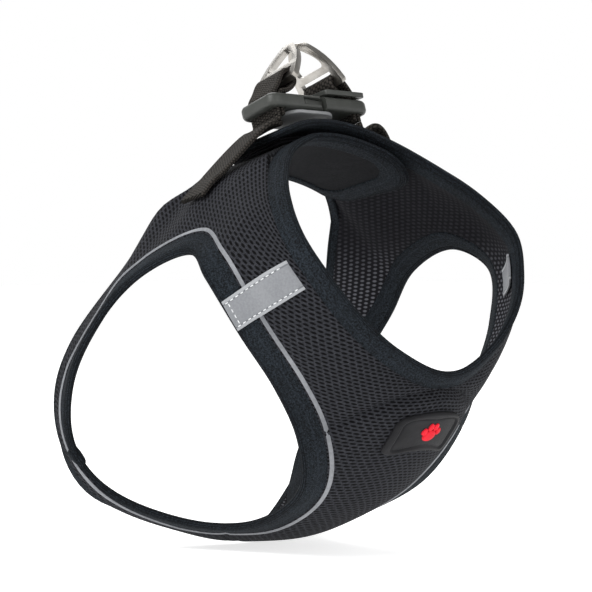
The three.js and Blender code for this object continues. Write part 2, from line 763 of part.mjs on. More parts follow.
function toGeometry(solid) {
  const mesh = solid.getMesh();
  const geometry = new THREE.BufferGeometry();
  geometry.setAttribute('position', new THREE.Float32BufferAttribute(mesh.vertProperties, 3));
  geometry.setIndex(Array.from(mesh.triVerts));
  geometry.computeVertexNormals();
  return geometry;
}

function box(x0, x1, y, z0, z1) {
  const geometry = new THREE.BoxGeometry(x1 - x0, 2 * y, z1 - z0);
  return geometry.translate((x0 + x1) / 2, 0, (z0 + z1) / 2);
}

// Flat plate in X and Y with rounded corners.
function plate(x0, x1, y, z0, z1, radius) {
  const shape = new THREE.Shape();
  shape.moveTo(x0 + radius, -y);
  shape.lineTo(x1 - radius, -y);
  shape.absarc(x1 - radius, -y + radius, radius, -Math.PI / 2, 0);
  shape.lineTo(x1, y - radius);
  shape.absarc(x1 - radius, y - radius, radius, 0, Math.PI / 2);
  shape.lineTo(x0 + radius, y);
  shape.absarc(x0 + radius, y - radius, radius, Math.PI / 2, Math.PI);
  shape.lineTo(x0, -y + radius);
  shape.absarc(x0 + radius, -y + radius, radius, Math.PI, Math.PI * 1.5);
  const extrude = { depth: z1 - z0, bevelEnabled: false, curveSegments: 4 };
  return new THREE.ExtrudeGeometry(shape, extrude).translate(0, 0, z0);
}

const END_RADIUS = 4;  // corners of the buckle, seen from above
const CUT = 9;         // half height of a cutting block
const CAVITY_END = -(SLOT_INNER - BUCKLE_SIDE_WALL);

// A slab with rounded corners seen from above, and one or both ends round seen from the side.
function buckleBody(x0, x1, roundTo) {
  const outline = plate(x0, x1, HALF_BUCKLE, -HALF_THICK, HALF_THICK, END_RADIUS);
  const low = Math.min(x0, roundTo);
  const high = Math.max(x1, roundTo);
  const profile = plate(low, high, HALF_THICK, -CUT - 1, CUT + 1, HALF_THICK * 0.9);
  profile.rotateX(Math.PI / 2).scale(1, HALF_BUCKLE / CUT, 1);
  return toSolid(outline).intersect(toSolid(profile));
}

function frameCut(side) {
  const inner = side * SLOT_INNER;
  const outer = side * SLOT_OUTER;
  return toSolid(box(Math.min(inner, outer), Math.max(inner, outer), SLOT_HALF, -CUT, CUT));
}

// Socket on the right-hand strap: housing, webbing bar, open side windows, curved thumb plate.
function buckleSocket() {
  const end = -(SLOT_OUTER + BAR_LENGTH);
  const cavityHalf = HALF_BUCKLE - BUCKLE_SIDE_WALL;
  const cavityHeight = HALF_THICK - BUCKLE_WALL;
  const body = buckleBody(end, SOCKET_MOUTH, SOCKET_MOUTH + HALF_THICK);
  const cavity = box(CAVITY_END, SOCKET_MOUTH + 1, cavityHalf, -cavityHeight, cavityHeight);
  const windowFrom = SOCKET_MOUTH - WINDOW_LENGTH;
  const windows = box(windowFrom, SOCKET_MOUTH + 1, HALF_BUCKLE + 1, -cavityHeight, cavityHeight);
  return toGeometry(
    body.subtract(toSolid(cavity)).subtract(toSolid(windows)).subtract(frameCut(-1)),
  );
}

function thumbPlate() {
  const high = -HALF_THICK - CLEARANCE;
  return plate(
    -SLOT_INNER + 1, THUMB_PLATE_REACH, HALF_BUCKLE - THUMB_PLATE_INSET,
    high - THUMB_PLATE_THICKNESS, high, THUMB_PLATE_CORNER,
  );
}

// Plug on the left-hand strap: body, webbing bar and the guide tongue.
function bucklePlug() {
  const start = SOCKET_MOUTH + CLEARANCE;
  const end = SLOT_OUTER + BAR_LENGTH;
  const body = buckleBody(start, end, start - HALF_THICK);
  const square = box(start, start + END_RADIUS + 1, HALF_BUCKLE, -HALF_THICK, HALF_THICK);
  const tongueHeight = HALF_THICK - BUCKLE_WALL - CLEARANCE;
  const tongue = box(start - TONGUE_LENGTH, start + 1, TONGUE_WIDTH / 2, -tongueHeight, tongueHeight);
  return toGeometry(
    body.add(toSolid(square)).add(toSolid(tongue)).subtract(frameCut(1)),
  );
}

// One springy prong: an arm beside the tongue with a thumb pad that fills the side window.
function prong(side) {
  const root = SOCKET_MOUTH;
  const height = HALF_THICK - BUCKLE_WALL - CLEARANCE;
  const outer = HALF_BUCKLE - BUCKLE_SIDE_WALL - CLEARANCE;
  const tip = CAVITY_END + CLEARANCE;
  const padEnd = root - WINDOW_LENGTH + CLEARANCE;
  const shape = new THREE.Shape();
  shape.moveTo(root, outer - PRONG_WIDTH);
  shape.lineTo(root, outer + 0.4);
  shape.lineTo(padEnd + 0.9, outer + 1.5);
  shape.lineTo(padEnd, outer + 0.6);
  shape.lineTo(padEnd, outer - 0.2);
  shape.lineTo(tip, outer - 1.4);
  shape.lineTo(tip, outer - PRONG_WIDTH);
  shape.closePath();
  const geometry = new THREE.ExtrudeGeometry(shape, { depth: 2 * height, bevelEnabled: false });
  geometry.translate(0, 0, -height);
  if (side < 0) geometry.rotateX(Math.PI);
  return geometry;
}

function strapSlider() {
  const end = SLOT_OUTER + SLIDER_RIM;
  const start = end - SLIDER_LENGTH;
  const body = plate(start, end, HALF_BUCKLE, 0, SLIDER_THICKNESS, 1.5);
  const slot = box(SLOT_OUTER - SLIDER_SLOT, SLOT_OUTER, SLOT_HALF, -1, SLIDER_THICKNESS + 1);
  return toGeometry(toSolid(body).subtract(toSolid(slot)));
}

// Cast leash ring, flat, drawn with its foot bar on the X axis and its apex towards +Y.
function ringOutline(halfFoot, foot, shoulder, apex, apexRadius) {
  const shape = new THREE.Shape();
  const corner = Math.min(1.6, halfFoot / 3);
  shape.moveTo(-halfFoot + corner, foot);
  shape.lineTo(halfFoot - corner, foot);
  shape.quadraticCurveTo(halfFoot, foot, halfFoot, foot + corner);
  shape.quadraticCurveTo(halfFoot * 0.93, shoulder + (apex - shoulder) * 0.45, apexRadius, apex - 0.8);
  shape.quadraticCurveTo(0, apex + 0.9, -apexRadius, apex - 0.8);
  shape.quadraticCurveTo(-halfFoot * 0.93, shoulder + (apex - shoulder) * 0.45, -halfFoot, foot + corner);
  shape.quadraticCurveTo(-halfFoot, foot, -halfFoot + corner, foot);
  return shape;
}

function leashRing() {
  const foot = -RING_BAR / 2;
  const slotTop = RING_BAR / 2 + RING_SLOT_HEIGHT;
  const windowFoot = slotTop + RING_CROSSBAR;
  const apex = foot + RING_HEIGHT;
  const halfFoot = WEBBING_WIDTH / 2 + RING_CHEEK;
  const outline = ringOutline(halfFoot, foot, slotTop, apex, 3.2);
  const halfWindow = halfFoot - RING_RIM - 1.9;
  const window = ringOutline(halfWindow, windowFoot, windowFoot, apex - RING_RIM, 1.6);
  outline.holes.push(window);
  const extrude = { depth: RING_THICKNESS, bevelEnabled: false, curveSegments: 8 };
  const body = new THREE.ExtrudeGeometry(outline, extrude).translate(0, 0, -RING_THICKNESS / 2);
  const slot = new THREE.BoxGeometry(2 * SLOT_HALF, RING_SLOT_HEIGHT, RING_THICKNESS + 2);
  slot.translate(0, RING_BAR / 2 + RING_SLOT_HEIGHT / 2, 0);
  return toGeometry(toSolid(body).subtract(toSolid(slot)));
}

// ---------------------------------------------------------------- assembly
const sides = [['right', -1], ['left', 1]];

function addSide([label, side]) {
  addMesh(`mesh_panel_${label}`, sidePanel(side, CLEARANCE, MESH_THICKNESS), MESH_CLOTH);
  addMesh(`lining_${label}`, sidePanel(side, -LINING_THICKNESS, -CLEARANCE), LINING_CLOTH);
  addMesh(`leg_band_${label}`, legBand(side), KNIT);
  addMesh(`leg_piping_${label}`, legPiping(side), PIPING);
  addMesh(`neck_band_${label}`, edgeBand(shell.neck, side), KNIT);
  addMesh(`rear_binding_${label}`, edgeBand(shell.rear, side), KNIT);
  addMesh(`reflective_tab_${label}`, tapeOutside(side), TAPE);
  addMesh(`reflective_tape_inside_${label}`, tapeInside(side), TAPE);
  addMesh(`leg_band_join_${label}`, bandJoin(side), KNIT);
  addMesh(`strap_lower_${label}`, strapLower(side), WEBBING);
  addMesh(`strap_loop_${label}`, strapLoop(side, RING_OFFSETS[label]), WEBBING);
}

function addFlaps() {
  const outer = { reach: OUTER_FLAP_REACH, corners: OUTER_FLAP_CORNERS };
  const inner = { reach: INNER_FLAP_REACH, corners: INNER_FLAP_CORNERS };
  addMesh('flap_outer_panel', flapPanel(1, outer), MESH_CLOTH);
  addMesh('flap_outer_band', flapBand(1, outer), KNIT);
  addMesh('flap_inner_panel', flapPanel(-1, inner), MESH_CLOTH);
  addMesh('flap_inner_band', flapBand(-1, inner), KNIT);
  const half = BAND_THICKNESS / 2;
  const loopLow = half + CLEARANCE;
  addMesh('loop_strip', closureStrip(-1, loopLow, loopLow + LOOP_THICKNESS), HOOK_AND_LOOP);
  const hookHigh = -half - CLEARANCE;
  addMesh('hook_strip', closureStrip(1, hookHigh - HOOK_THICKNESS, hookHigh), HOOK_AND_LOOP);
}

function addBadge() {
  const low = MESH_THICKNESS + 4 * CLEARANCE;
  const high = low + BADGE_THICKNESS;
  const to = BADGE_AT + BADGE_STATIONS;
  addMesh('chest_badge', chestPatch(BADGE_WIDTH, BADGE_AT, to, low, high, BADGE_CORNER), BADGE_RUBBER);
  const middle = BADGE_AT + BADGE_STATIONS / 2;
  const half = BADGE_STATIONS * (MARK_RADIUS / BADGE_HEIGHT);
  const mark = chestPatch(
    2 * MARK_RADIUS, middle - half, middle + half, high + CLEARANCE,
    high + CLEARANCE + MARK_THICKNESS, MARK_CORNER,
  );
  addMesh('badge_mark', mark, MARK_RUBBER);
}

function addBuckle() {
  const buckle = new THREE.Group();
  buckle.position.z = BUCKLE_RISE;
  back.add(buckle);
  addMesh('buckle_socket', buckleSocket(), BUCKLE_PLASTIC, buckle);
  addMesh('buckle_thumb_plate', thumbPlate(), BUCKLE_PLASTIC, buckle);
  addMesh('buckle_plug', bucklePlug(), BUCKLE_PLASTIC, buckle);
  addMesh('buckle_prong_rear', prong(1), BUCKLE_PLASTIC, buckle);
  addMesh('buckle_prong_front', prong(-1), BUCKLE_PLASTIC, buckle);
  const slider = addMesh('strap_slider', strapSlider(), BUCKLE_PLASTIC, buckle);
  slider.position.z = SLIDER_RISE - SLIDER_THICKNESS / 2;
  slider.rotation.x = SLIDER_TILT;
}

function addRing([label, side]) {
  const ring = addMesh(`ring_${label}`, leashRing(), CAST_METAL, back);
  const across = new THREE.Vector3(0, 1, 0);
  const lean = THREE.MathUtils.degToRad(RING_LEANS[label]);
  const up = new THREE.Vector3(-side * Math.cos(lean), 0, Math.sin(lean));
  const basis = new THREE.Matrix4().makeBasis(across, up, across.clone().cross(up));
  ring.setRotationFromMatrix(basis);
  ring.position.set(side * RING_OFFSETS[label], 0, BAR_RISE);
}

sides.forEach(addSide);
addFlaps();
addBadge();
addBuckle();
sides.forEach(addRing);

export default vest;
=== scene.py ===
# Step-in harness vest for a small dog: mesh sides, knit bands, reflective trim, two webbing
# straps with a side-release buckle and two cast leash rings.
import math

import bpy
from mathutils import Matrix, Vector


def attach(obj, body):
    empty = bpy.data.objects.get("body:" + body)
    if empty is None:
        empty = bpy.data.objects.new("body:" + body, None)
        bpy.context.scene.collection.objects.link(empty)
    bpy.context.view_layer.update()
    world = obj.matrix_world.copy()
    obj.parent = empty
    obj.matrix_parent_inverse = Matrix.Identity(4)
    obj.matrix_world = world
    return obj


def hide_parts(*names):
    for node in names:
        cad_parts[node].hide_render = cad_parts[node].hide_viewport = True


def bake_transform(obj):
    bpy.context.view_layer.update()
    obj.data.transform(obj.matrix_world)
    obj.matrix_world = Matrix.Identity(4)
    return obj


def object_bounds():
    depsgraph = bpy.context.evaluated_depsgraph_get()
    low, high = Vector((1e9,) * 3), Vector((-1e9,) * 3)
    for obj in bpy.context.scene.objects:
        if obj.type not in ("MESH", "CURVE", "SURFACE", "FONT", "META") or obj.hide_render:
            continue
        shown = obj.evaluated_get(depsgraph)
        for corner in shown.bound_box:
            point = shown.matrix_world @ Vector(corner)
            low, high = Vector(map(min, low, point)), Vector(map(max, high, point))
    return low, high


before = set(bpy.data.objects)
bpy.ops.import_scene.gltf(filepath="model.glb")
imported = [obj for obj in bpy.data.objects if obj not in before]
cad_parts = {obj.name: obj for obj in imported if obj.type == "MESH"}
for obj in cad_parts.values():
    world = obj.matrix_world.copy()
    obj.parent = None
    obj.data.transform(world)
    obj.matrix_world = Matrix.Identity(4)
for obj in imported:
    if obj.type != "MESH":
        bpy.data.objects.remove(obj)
cad_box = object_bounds()
MM = 0.001

# ------------------------------------------------------------------ camera, light and floor
# A long lens level with the vest, broad soft light from above and in front, and a pale floor.
TARGET = Vector((-1.6, 1.6, 93.3)) * MM
AZIMUTH = math.radians(-45)
ELEVATION = math.radians(2)
DISTANCE = 1.15
FRAME_WIDTH = 0.219


def towards(azimuth, elevation):
    flat = math.cos(elevation)
    return Vector((math.sin(azimuth) * flat, -math.cos(azimuth) * flat, math.sin(elevation)))


camera_data = bpy.data.cameras.new("camera")
camera_data.lens = camera_data.sensor_width * DISTANCE / FRAME_WIDTH
camera = bpy.data.objects.new("camera", camera_data)
camera.location = TARGET + towards(AZIMUTH, ELEVATION) * DISTANCE
camera.rotation_euler = towards(AZIMUTH, ELEVATION).to_track_quat("Z", "Y").to_euler()
bpy.context.collection.objects.link(camera)
bpy.context.scene.camera = camera
bpy.context.scene.view_settings.view_transform = "Standard"


def area_light(name, azimuth, elevation, distance, size, power):
    data = bpy.data.lights.new(name, "AREA")
    data.size = size
    data.energy = power
    lamp = bpy.data.objects.new(name, data)
    away = towards(math.radians(azimuth), math.radians(elevation))
    lamp.location = TARGET + away * distance
    lamp.rotation_euler = away.to_track_quat("Z", "Y").to_euler()
    bpy.context.collection.objects.link(lamp)


area_light("key_light", -80, 48, 1.0, 0.5, 9)
area_light("fill_light", 15, 30, 1.2, 0.7, 3)
area_light("back_light", 150, 45, 1.2, 0.7, 6)

# White all round at eye level, as in a studio cove, and dimmer overhead.
world = bpy.data.worlds.new("studio")
world.use_nodes = True
cove = world.node_tree
place = cove.nodes.new("ShaderNodeTexCoord")
parts = cove.nodes.new("ShaderNodeSeparateXYZ")
ramp = cove.nodes.new("ShaderNodeMapRange")
for name, value in (("From Min", 0.2), ("From Max", 0.5), ("To Min", 1.0), ("To Max", 0.25)):
    ramp.inputs[name].default_value = value
cove.nodes["Background"].inputs["Color"].default_value = (1, 1, 1, 1)
cove.links.new(place.outputs["Generated"], parts.inputs["Vector"])
cove.links.new(parts.outputs["Z"], ramp.inputs["Value"])
cove.links.new(ramp.outputs["Result"], cove.nodes["Background"].inputs["Strength"])
bpy.context.scene.world = world


# A colour as it looks on screen, turned into the linear values that a shader takes.
def colour(red, green, blue):
    def linear(value):
        value /= 255
        return value / 12.92 if value <= 0.04045 else ((value + 0.055) / 1.055) ** 2.4

    return (linear(red), linear(green), linear(blue), 1.0)


# One value in a shader. Sums and products on it add the Math nodes that work them out.
class Value:
    def __init__(self, look, socket):
        self.look = look
        self.socket = socket

    def _math(self, operation, *values):
        return self.look.node("ShaderNodeMath", {"operation": operation}, *values)["Value"]

    def __add__(self, other):
        return self._math("ADD", self, other)

    __radd__ = __add__

    def __sub__(self, other):
        return self._math("SUBTRACT", self, other)

    def __rsub__(self, other):
        return self._math("SUBTRACT", other, self)

    def __mul__(self, other):
        return self._math("MULTIPLY", self, other)

    __rmul__ = __mul__

    def __truediv__(self, other):
        return self._math("DIVIDE", self, other)

    def __pow__(self, other):
        return self._math("POWER", self, other)

    def fraction(self):
        return self._math("FRACT", self)

    def sine(self):
        return self._math("SINE", self)

    def size(self):
        return self._math("ABSOLUTE", self)

    def ramp(self, low, high):
        result = self.look.node(
            "ShaderNodeMapRange", {"interpolation_type": "SMOOTHSTEP"}, self, low, high
        )
        return result["Result"]


# A material and its node tree. node() adds any node: its settings, then its sockets' values.
class Look:
    def __init__(self, name):
        self.material = bpy.data.materials.new(name)
        self.material.use_nodes = True
        self.tree = self.material.node_tree
        self.shader = self.tree.nodes["Principled BSDF"]

    def node(self, kind, settings=None, *values, **named):
        made = self.tree.nodes.new(kind)
        for key, value in (settings or {}).items():
            setattr(made, key, value)
        pairs = list(zip(made.inputs, values))
        pairs += [(made.inputs[key.replace("_", " ")], value) for key, value in named.items()]
        for socket, value in pairs:
            self.feed(socket, value)
        return {socket.name: Value(self, socket) for socket in made.outputs if socket.enabled}

    def feed(self, socket, value):
        if isinstance(value, Value):
            self.tree.links.new(value.socket, socket)
        elif value is not None:
            socket.default_value = value

    def mix(self, share, first, second):
        made = self.tree.nodes.new("ShaderNodeMix")
        made.data_type = "RGBA"
        for key, value in (("Factor_Float", share), ("A_Color", first), ("B_Color", second)):
            self.feed(next(s for s in made.inputs if s.identifier == key), value)
        return Value(self, next(s for s in made.outputs if s.identifier == "Result_Color"))

    def noise(self, place, scale, detail=2, roughness=0.5):
        made = self.node(
            "ShaderNodeTexNoise", None, Vector=place, Scale=scale, Detail=detail, Roughness=roughness
        )
        return made["Fac"] if "Fac" in made else made["Factor"]

    def position(self):
        return self.node("ShaderNodeTexCoord")["Object"]

    # The piece's own map: metres along and metres across.
    def map(self):
        place = self.node("ShaderNodeUVMap", {"uv_map": "map"})["UV"]
        parts = self.node("ShaderNodeSeparateXYZ", None, place)
        return parts["X"], parts["Y"]

    def finish(self, base, roughness, height=None, depth=0.0001, strength=1.0, **fixed):
        self.feed(self.shader.inputs["Base Color"], base)
        self.feed(self.shader.inputs["Roughness"], roughness)
        self.shader.inputs["Specular IOR Level"].default_value = 0.12
        if height is not None:
            bump = self.node(
                "ShaderNodeBump", None, Height=height, Distance=depth, Strength=strength
            )
            self.feed(self.shader.inputs["Normal"], bump["Normal"])
        for key, value in fixed.items():
            self.shader.inputs[key.replace("_", " ")].default_value = value
        return self.material


bpy.ops.object.select_all(action="DESELECT")
FLOOR_GAP = 0.0005
bpy.ops.mesh.primitive_plane_add(size=5, location=(0, 0, cad_box[0][2] - FLOOR_GAP))
floor = bpy.context.object
floor.name = "floor"
bpy.ops.object.transform_apply(location=True, rotation=True, scale=True)
floor_look = Look("floor_white")
floor.data.materials.append(
    floor_look.finish(
        colour(225, 225, 225), 0.9, Emission_Color=(1, 1, 1, 1), Emission_Strength=0.72
    )
)

# ------------------------------------------------------------------ air mesh of the two sides
# Each side is cut from three-layer air mesh. It runs round the leg hole as one piece, meets the
# other side on the chest, and goes on over the back as a flap.
LEG_BAND_WIDTH = 11 * MM
NECK_BAND_WIDTH = 9 * MM
REAR_BINDING_WIDTH = 3.5 * MM
PANEL_BULGE = 0.09
SEAM = 1.25 * MM

LEG_HOLE = [
    (70, -14, 110), (75, -27, 102), (66, -35, 82), (53, -39, 63), (43, -40, 45), (33, -31, 26),
    (27, 0, 11), (34, 24, 10), (51, 46, 20), (66, 52, 37), (76, 43, 62), (78, 28, 83), (73, 11, 101),
]
NECK_EDGE = [
    (32, -25, 147), (49, -43, 131), (55, -56, 117), (50, -64, 103), (42, -69, 91), (25, -73, 77),
    (0, -75, 68),
]
REAR_EDGE = [
    (32, 21, 136.5), (43, 27, 127), (50, 36, 109), (65, 54, 77), (68, 60, 59), (65, 61, 40),
    (54, 57, 21), (40, 51, 12), (14, 38, 3), (0, 32, 1),
]
CHEST_LINE = [
    (0, -75, 68), (0, -62, 48), (0, -47, 32), (0, -33, 20), (0, -16, 11), (0, 1, 5), (0, 32, 1),
]
CROWN_FRONT = Vector((0, -17, 155)) * MM
CROWN_REAR = Vector((0, 20, 141)) * MM
HOLE_AT_CHEST_FRONT = 4
HOLE_AT_CHEST_REAR = 6.6
HOLE_AT_FLAP_REAR = 12
HOLE_END = len(LEG_HOLE)
NECK_STEPS = 52
CHEST_STEPS = 44
REAR_STEPS = 68
FLAP_STEPS = 20
PANEL_ROWS = 16
CHEST_REACH = 20


# A smooth curve through points, passed at a pace set by the root of their spacing.
def passing(points, place, closed):
    count = len(points)
    index = min(int(place), count - 1 if closed else count - 2)
    share = place - index

    def knot(i):
        if closed:
            return points[i % count]
        if i < 0:
            return 2 * points[0] - points[1]
        if i >= count:
            return 2 * points[-1] - points[-2]
        return points[i]

    a, b, c, d = (knot(index + k) for k in (-1, 0, 1, 2))
    before, here, after = ((q - p).length ** 0.5 for p, q in ((a, b), (b, c), (c, d)))
    leave = ((b - a) / before - (c - a) / (before + here) + (c - b) / here) * here
    reach = ((c - b) / here - (d - b) / (here + after) + (d - c) / after) * here
    square = share * share
    cube = square * share
    return (
        b * (2 * cube - 3 * square + 1) + leave * (cube - 2 * square + share)
        + c * (3 * square - 2 * cube) + reach * (cube - square)
    )


def in_metres(points):
    return [Vector(point) * MM for point in points]


class Line:
    """An open curve that is walked by its own length."""

    def __init__(self, points, fine=40):
        places = (len(points) - 1) * fine
        self.points = [passing(points, i / fine, False) for i in range(places + 1)]
        self.lengths = [0.0]
        for here, after in zip(self.points, self.points[1:]):
            self.lengths.append(self.lengths[-1] + (after - here).length)

    def at(self, share):
        target = share * self.lengths[-1]
        low = max(i for i, length in enumerate(self.lengths[:-1]) if length <= target + 1e-12)
        span = self.lengths[low + 1] - self.lengths[low]
        here, after = self.points[low], self.points[low + 1]
        return here.lerp(after, (target - self.lengths[low]) / span), (after - here).normalized()


def across_centre(points):
    return points + [Vector((-p.x, p.y, p.z)) for p in reversed(points[:-1])]


hole_points = in_metres(LEG_HOLE)
neck_line = Line(across_centre(in_metres(NECK_EDGE)))
rear_line = Line(across_centre(in_metres(REAR_EDGE)))
chest_line = Line(in_metres(CHEST_LINE))


def hole_at(place):
    return passing(hole_points, place % HOLE_END, True)


class Station:
    """One ruling of the cloth, from the leg hole out to a seam or a free edge."""

    def __init__(self, outer, hole, normal, level=0.0, edge=None):
        self.outer = outer
        self.hole = hole
        self.normal = normal
        self.level = level
        self.edge = edge


def smooth(value):
    value = min(max(value, 0.0), 1.0)
    return value * value * (3 - 2 * value)


def edge_stations(line, steps, hole_from, hole_to, width, backwards):
    stations = []
    middle = Vector((0, -8, 80)) * MM
    for i in range(steps + 1):
        share = i / steps
        edge, tangent = line.at((1 - share if backwards else share) / 2)
        hole = hole_at(hole_from + (hole_to - hole_from) * share)
        inward = hole - edge
        inward = (inward - tangent * inward.dot(tangent)).normalized()
        normal = tangent.cross(inward).normalized()
        if normal.dot(edge - middle) < 0:
            normal.negate()
        from_chest = i if backwards else steps - i
        level = smooth(1 - from_chest / CHEST_REACH)
        stations.append(Station(edge + inward * width, hole, normal, level, edge))
    return stations


def to_centre(station):
    station.edge.x = 0
    station.outer.x = 0
    station.normal.x = 0
    station.normal.normalize()


neck_stations = edge_stations(
    neck_line, NECK_STEPS, 0, HOLE_AT_CHEST_FRONT, NECK_BAND_WIDTH, False
)
rear_stations = edge_stations(
    rear_line, REAR_STEPS, HOLE_AT_CHEST_REAR, HOLE_AT_FLAP_REAR, REAR_BINDING_WIDTH, True
)
to_centre(neck_stations[-1])
to_centre(rear_stations[0])


def chest_stations():
    def share_of(target):
        return min((i / 400 for i in range(401)), key=lambda s: (chest_line.at(s)[0] - target).length)

    start = share_of(neck_stations[-1].outer)
    end = share_of(rear_stations[0].outer)
    stations = []
    for i in range(1, CHEST_STEPS):
        share = i / CHEST_STEPS
        outer, tangent = chest_line.at(start + (end - start) * share)
        place = HOLE_AT_CHEST_FRONT + (HOLE_AT_CHEST_REAR - HOLE_AT_CHEST_FRONT) * share
        stations.append(Station(outer, hole_at(place), Vector((0, tangent.z, -tangent.y)), 1.0))
    return stations


def root_stations():
    stations = []
    start, end = rear_stations[-1], neck_stations[0]
    for i in range(1, FLAP_STEPS):
        share = i / FLAP_STEPS
        hole = hole_at(HOLE_AT_FLAP_REAR + (HOLE_END - HOLE_AT_FLAP_REAR) * share)
        normal = start.normal.lerp(end.normal, share).normalized()
        stations.append(Station(start.outer.lerp(end.outer, share), hole, normal))
    return stations


outline = neck_stations + chest_stations() + rear_stations + root_stations()
for number, station in enumerate(outline):
    before = outline[number - 1].hole
    after = outline[(number + 1) % len(outline)].hole
    ruling = station.outer - station.hole
    station.hole_normal = (after - before).cross(ruling).normalized()
    if station.hole_normal.dot(station.normal) < 0:
        station.hole_normal.negate()
    station.length = ruling.length
    station.band = min(LEG_BAND_WIDTH, 0.6 * station.length)
    behind = smooth((number - 132) / 16) * (1 - smooth((number - 164) / 12))
    station.bulge = PANEL_BULGE * (1 - behind)


def flipped(vector, side):
    return Vector((vector.x * side, vector.y, vector.z))


# The point and the outward normal at a distance from the leg hole along one ruling.
def cloth_place(station, distance, side):
    share = distance / station.length
    point = station.hole.lerp(station.outer, share)
    normal = station.hole_normal.lerp(station.normal, share).normalized()
    span = station.length - station.band
    across = min(max((distance - station.band) / span, 0), 1)
    seam = station.hole.lerp(station.outer, station.band / station.length)
    middle = seam.lerp(station.outer, 0.5)
    bowed = middle + normal * (2 * station.bulge * span)
    level = station.outer.copy()
    level.x += (seam.x - level.x) * 0.55
    pull = bowed.lerp(level, station.level) - middle
    return flipped(point + pull * (2 * across * (1 - across)), side), flipped(normal, side)


# A mesh from rows of points. Closed rows join their last column to their first.
def grid_object(name, rows, closed=False, round_rows=False, uvs=None, flip=False):
    columns = len(rows[0])
    vertices = [point for row in rows for point in row]
    faces = []
    corners = []
    for i in range(len(rows) if closed else len(rows) - 1):
        after = (i + 1) % len(rows)
        for k in range(columns if round_rows else columns - 1):
            beside = (k + 1) % columns
            face = [(i, k), (after, k), (after, beside), (i, beside)]
            corners.append([
                (a if a or i != len(rows) - 1 else len(rows), b if b or k != columns - 1 else columns)
                for a, b in face
            ])
            faces.append([a * columns + b for a, b in face])
    mesh = bpy.data.meshes.new(name)
    mesh.from_pydata(vertices, [], faces)
    if uvs:
        layer = mesh.uv_layers.new(name="map")
        for polygon, square in zip(mesh.polygons, corners):
            for loop, (i, k) in zip(polygon.loop_indices, square):
                layer.data[loop].uv = uvs(i, k)
    if flip:
        mesh.flip_normals()
    piece = bpy.data.objects.new(name, mesh)
    bpy.context.collection.objects.link(piece)
    mesh.polygons.foreach_set("use_smooth", [True] * len(mesh.polygons))
    mesh.update()
    return piece


def only(piece):
    bpy.ops.object.select_all(action="DESELECT")
    piece.select_set(True)
    bpy.context.view_layer.objects.active = piece


# Merges points that lie together, joining a piece's seams, and turns its faces outwards.
def outwards(piece, merge=0.00001):
    only(piece)
    bpy.ops.object.mode_set(mode="EDIT")
    bpy.ops.mesh.select_all(action="SELECT")
    bpy.ops.mesh.remove_doubles(threshold=merge)
    bpy.ops.mesh.normals_make_consistent(inside=False)
    bpy.ops.object.mode_set(mode="OBJECT")
    return piece



def side_rows(side, low, high, height):
    rows = []
    for station in outline:
        start = station.band + low
        end = station.length - (0 if station.level == 1.0 else high)
        row = []
        for k in range(PANEL_ROWS + 1):
            point, normal = cloth_place(station, start + (end - start) * k / PANEL_ROWS, side)
            place = point + normal * height
            if station.level == 1.0 and k == PANEL_ROWS:
                place.x = 0
            row.append(place)
        rows.append(row)
    return rows


def joined(name, pieces):
    only(pieces[0])
    for piece in pieces[1:]:
        piece.select_set(True)
    bpy.ops.object.join()
    whole = bpy.context.object
    whole.name = name
    whole.data.name = name
    return whole


# The mesh is cut a little off its grain, mirrored about the centre of the chest.
GRAIN_SLANT = 0.36
GRAIN_TURN = 8 * MM


# Lays the cloth out flat, as it was cut, so that its weave runs straight: metres, chest upright.
def lay_flat(piece):
    only(piece)
    bpy.ops.object.mode_set(mode="EDIT")
    bpy.ops.mesh.select_all(action="SELECT")
    bpy.ops.uv.unwrap(method="ANGLE_BASED", margin=0)
    bpy.ops.object.mode_set(mode="OBJECT")
    mesh = piece.data
    layer = mesh.uv_layers["map"].data
    flat_area = 0
    centre = {}
    for polygon in mesh.polygons:
        loops = list(polygon.loop_indices)
        places = [layer[loop].uv for loop in loops]
        for here, after in zip(places, places[1:] + places[:1]):
            flat_area += (here.x * after.y - after.x * here.y) / 2
        for loop in loops:
            vertex = mesh.vertices[mesh.loops[loop].vertex_index].co
            if abs(vertex.x) < 1e-6:
                centre[vertex.z] = Vector(layer[loop].uv)
    top, bottom = centre[max(centre)], centre[min(centre)]
    turn = math.atan2(top.x - bottom.x, top.y - bottom.y)
    scale = math.sqrt(sum(polygon.area for polygon in mesh.polygons) / abs(flat_area))
    cos, sin = math.cos(turn) * scale, math.sin(turn) * scale
    us, vs = [], []
    for corner in layer:
        x, y = corner.uv - bottom
        u, v = x * cos - y * sin, x * sin + y * cos
        us.append(u)
        vs.append(v)
        corner.uv = (u, v + GRAIN_SLANT * (math.hypot(u, GRAIN_TURN) - GRAIN_TURN))
    return max(us) - min(us), max(vs) - min(vs)


def modified(piece, kind, **settings):
    only(piece)
    change = piece.modifiers.new(kind.lower(), kind)
    for key, value in settings.items():
        setattr(change, key, value)
    bpy.ops.object.modifier_apply(modifier=change.name)


def area_of(piece):
    return sum(polygon.area for polygon in piece.data.polygons)


UNDER_BAND = 1.6 * MM
MESH_THICKNESS = 1.2 * MM


def flap_travel(side, x):
    return 1 - side * x / FLAP_ROOT


FLAP_ROOT = 32 * MM
FLAP_STACK = 5.4 * MM
OUTER_FLAP = {"side": 1, "reach": 26 * MM, "front": 12 * MM, "rear": 12 * MM}
INNER_FLAP = {"side": -1, "reach": 42 * MM, "front": 20 * MM, "rear": 11 * MM}
arch_front = (CROWN_FRONT, neck_stations[0].edge)
arch_rear = (CROWN_REAR, rear_stations[-1].edge)


def arch_edge(arch, x):
    crown, root = arch
    turn = (x / root.x) ** 2
    return Vector((x, crown.y + (root.y - crown.y) * turn, crown.z + (root.z - crown.z) * turn))


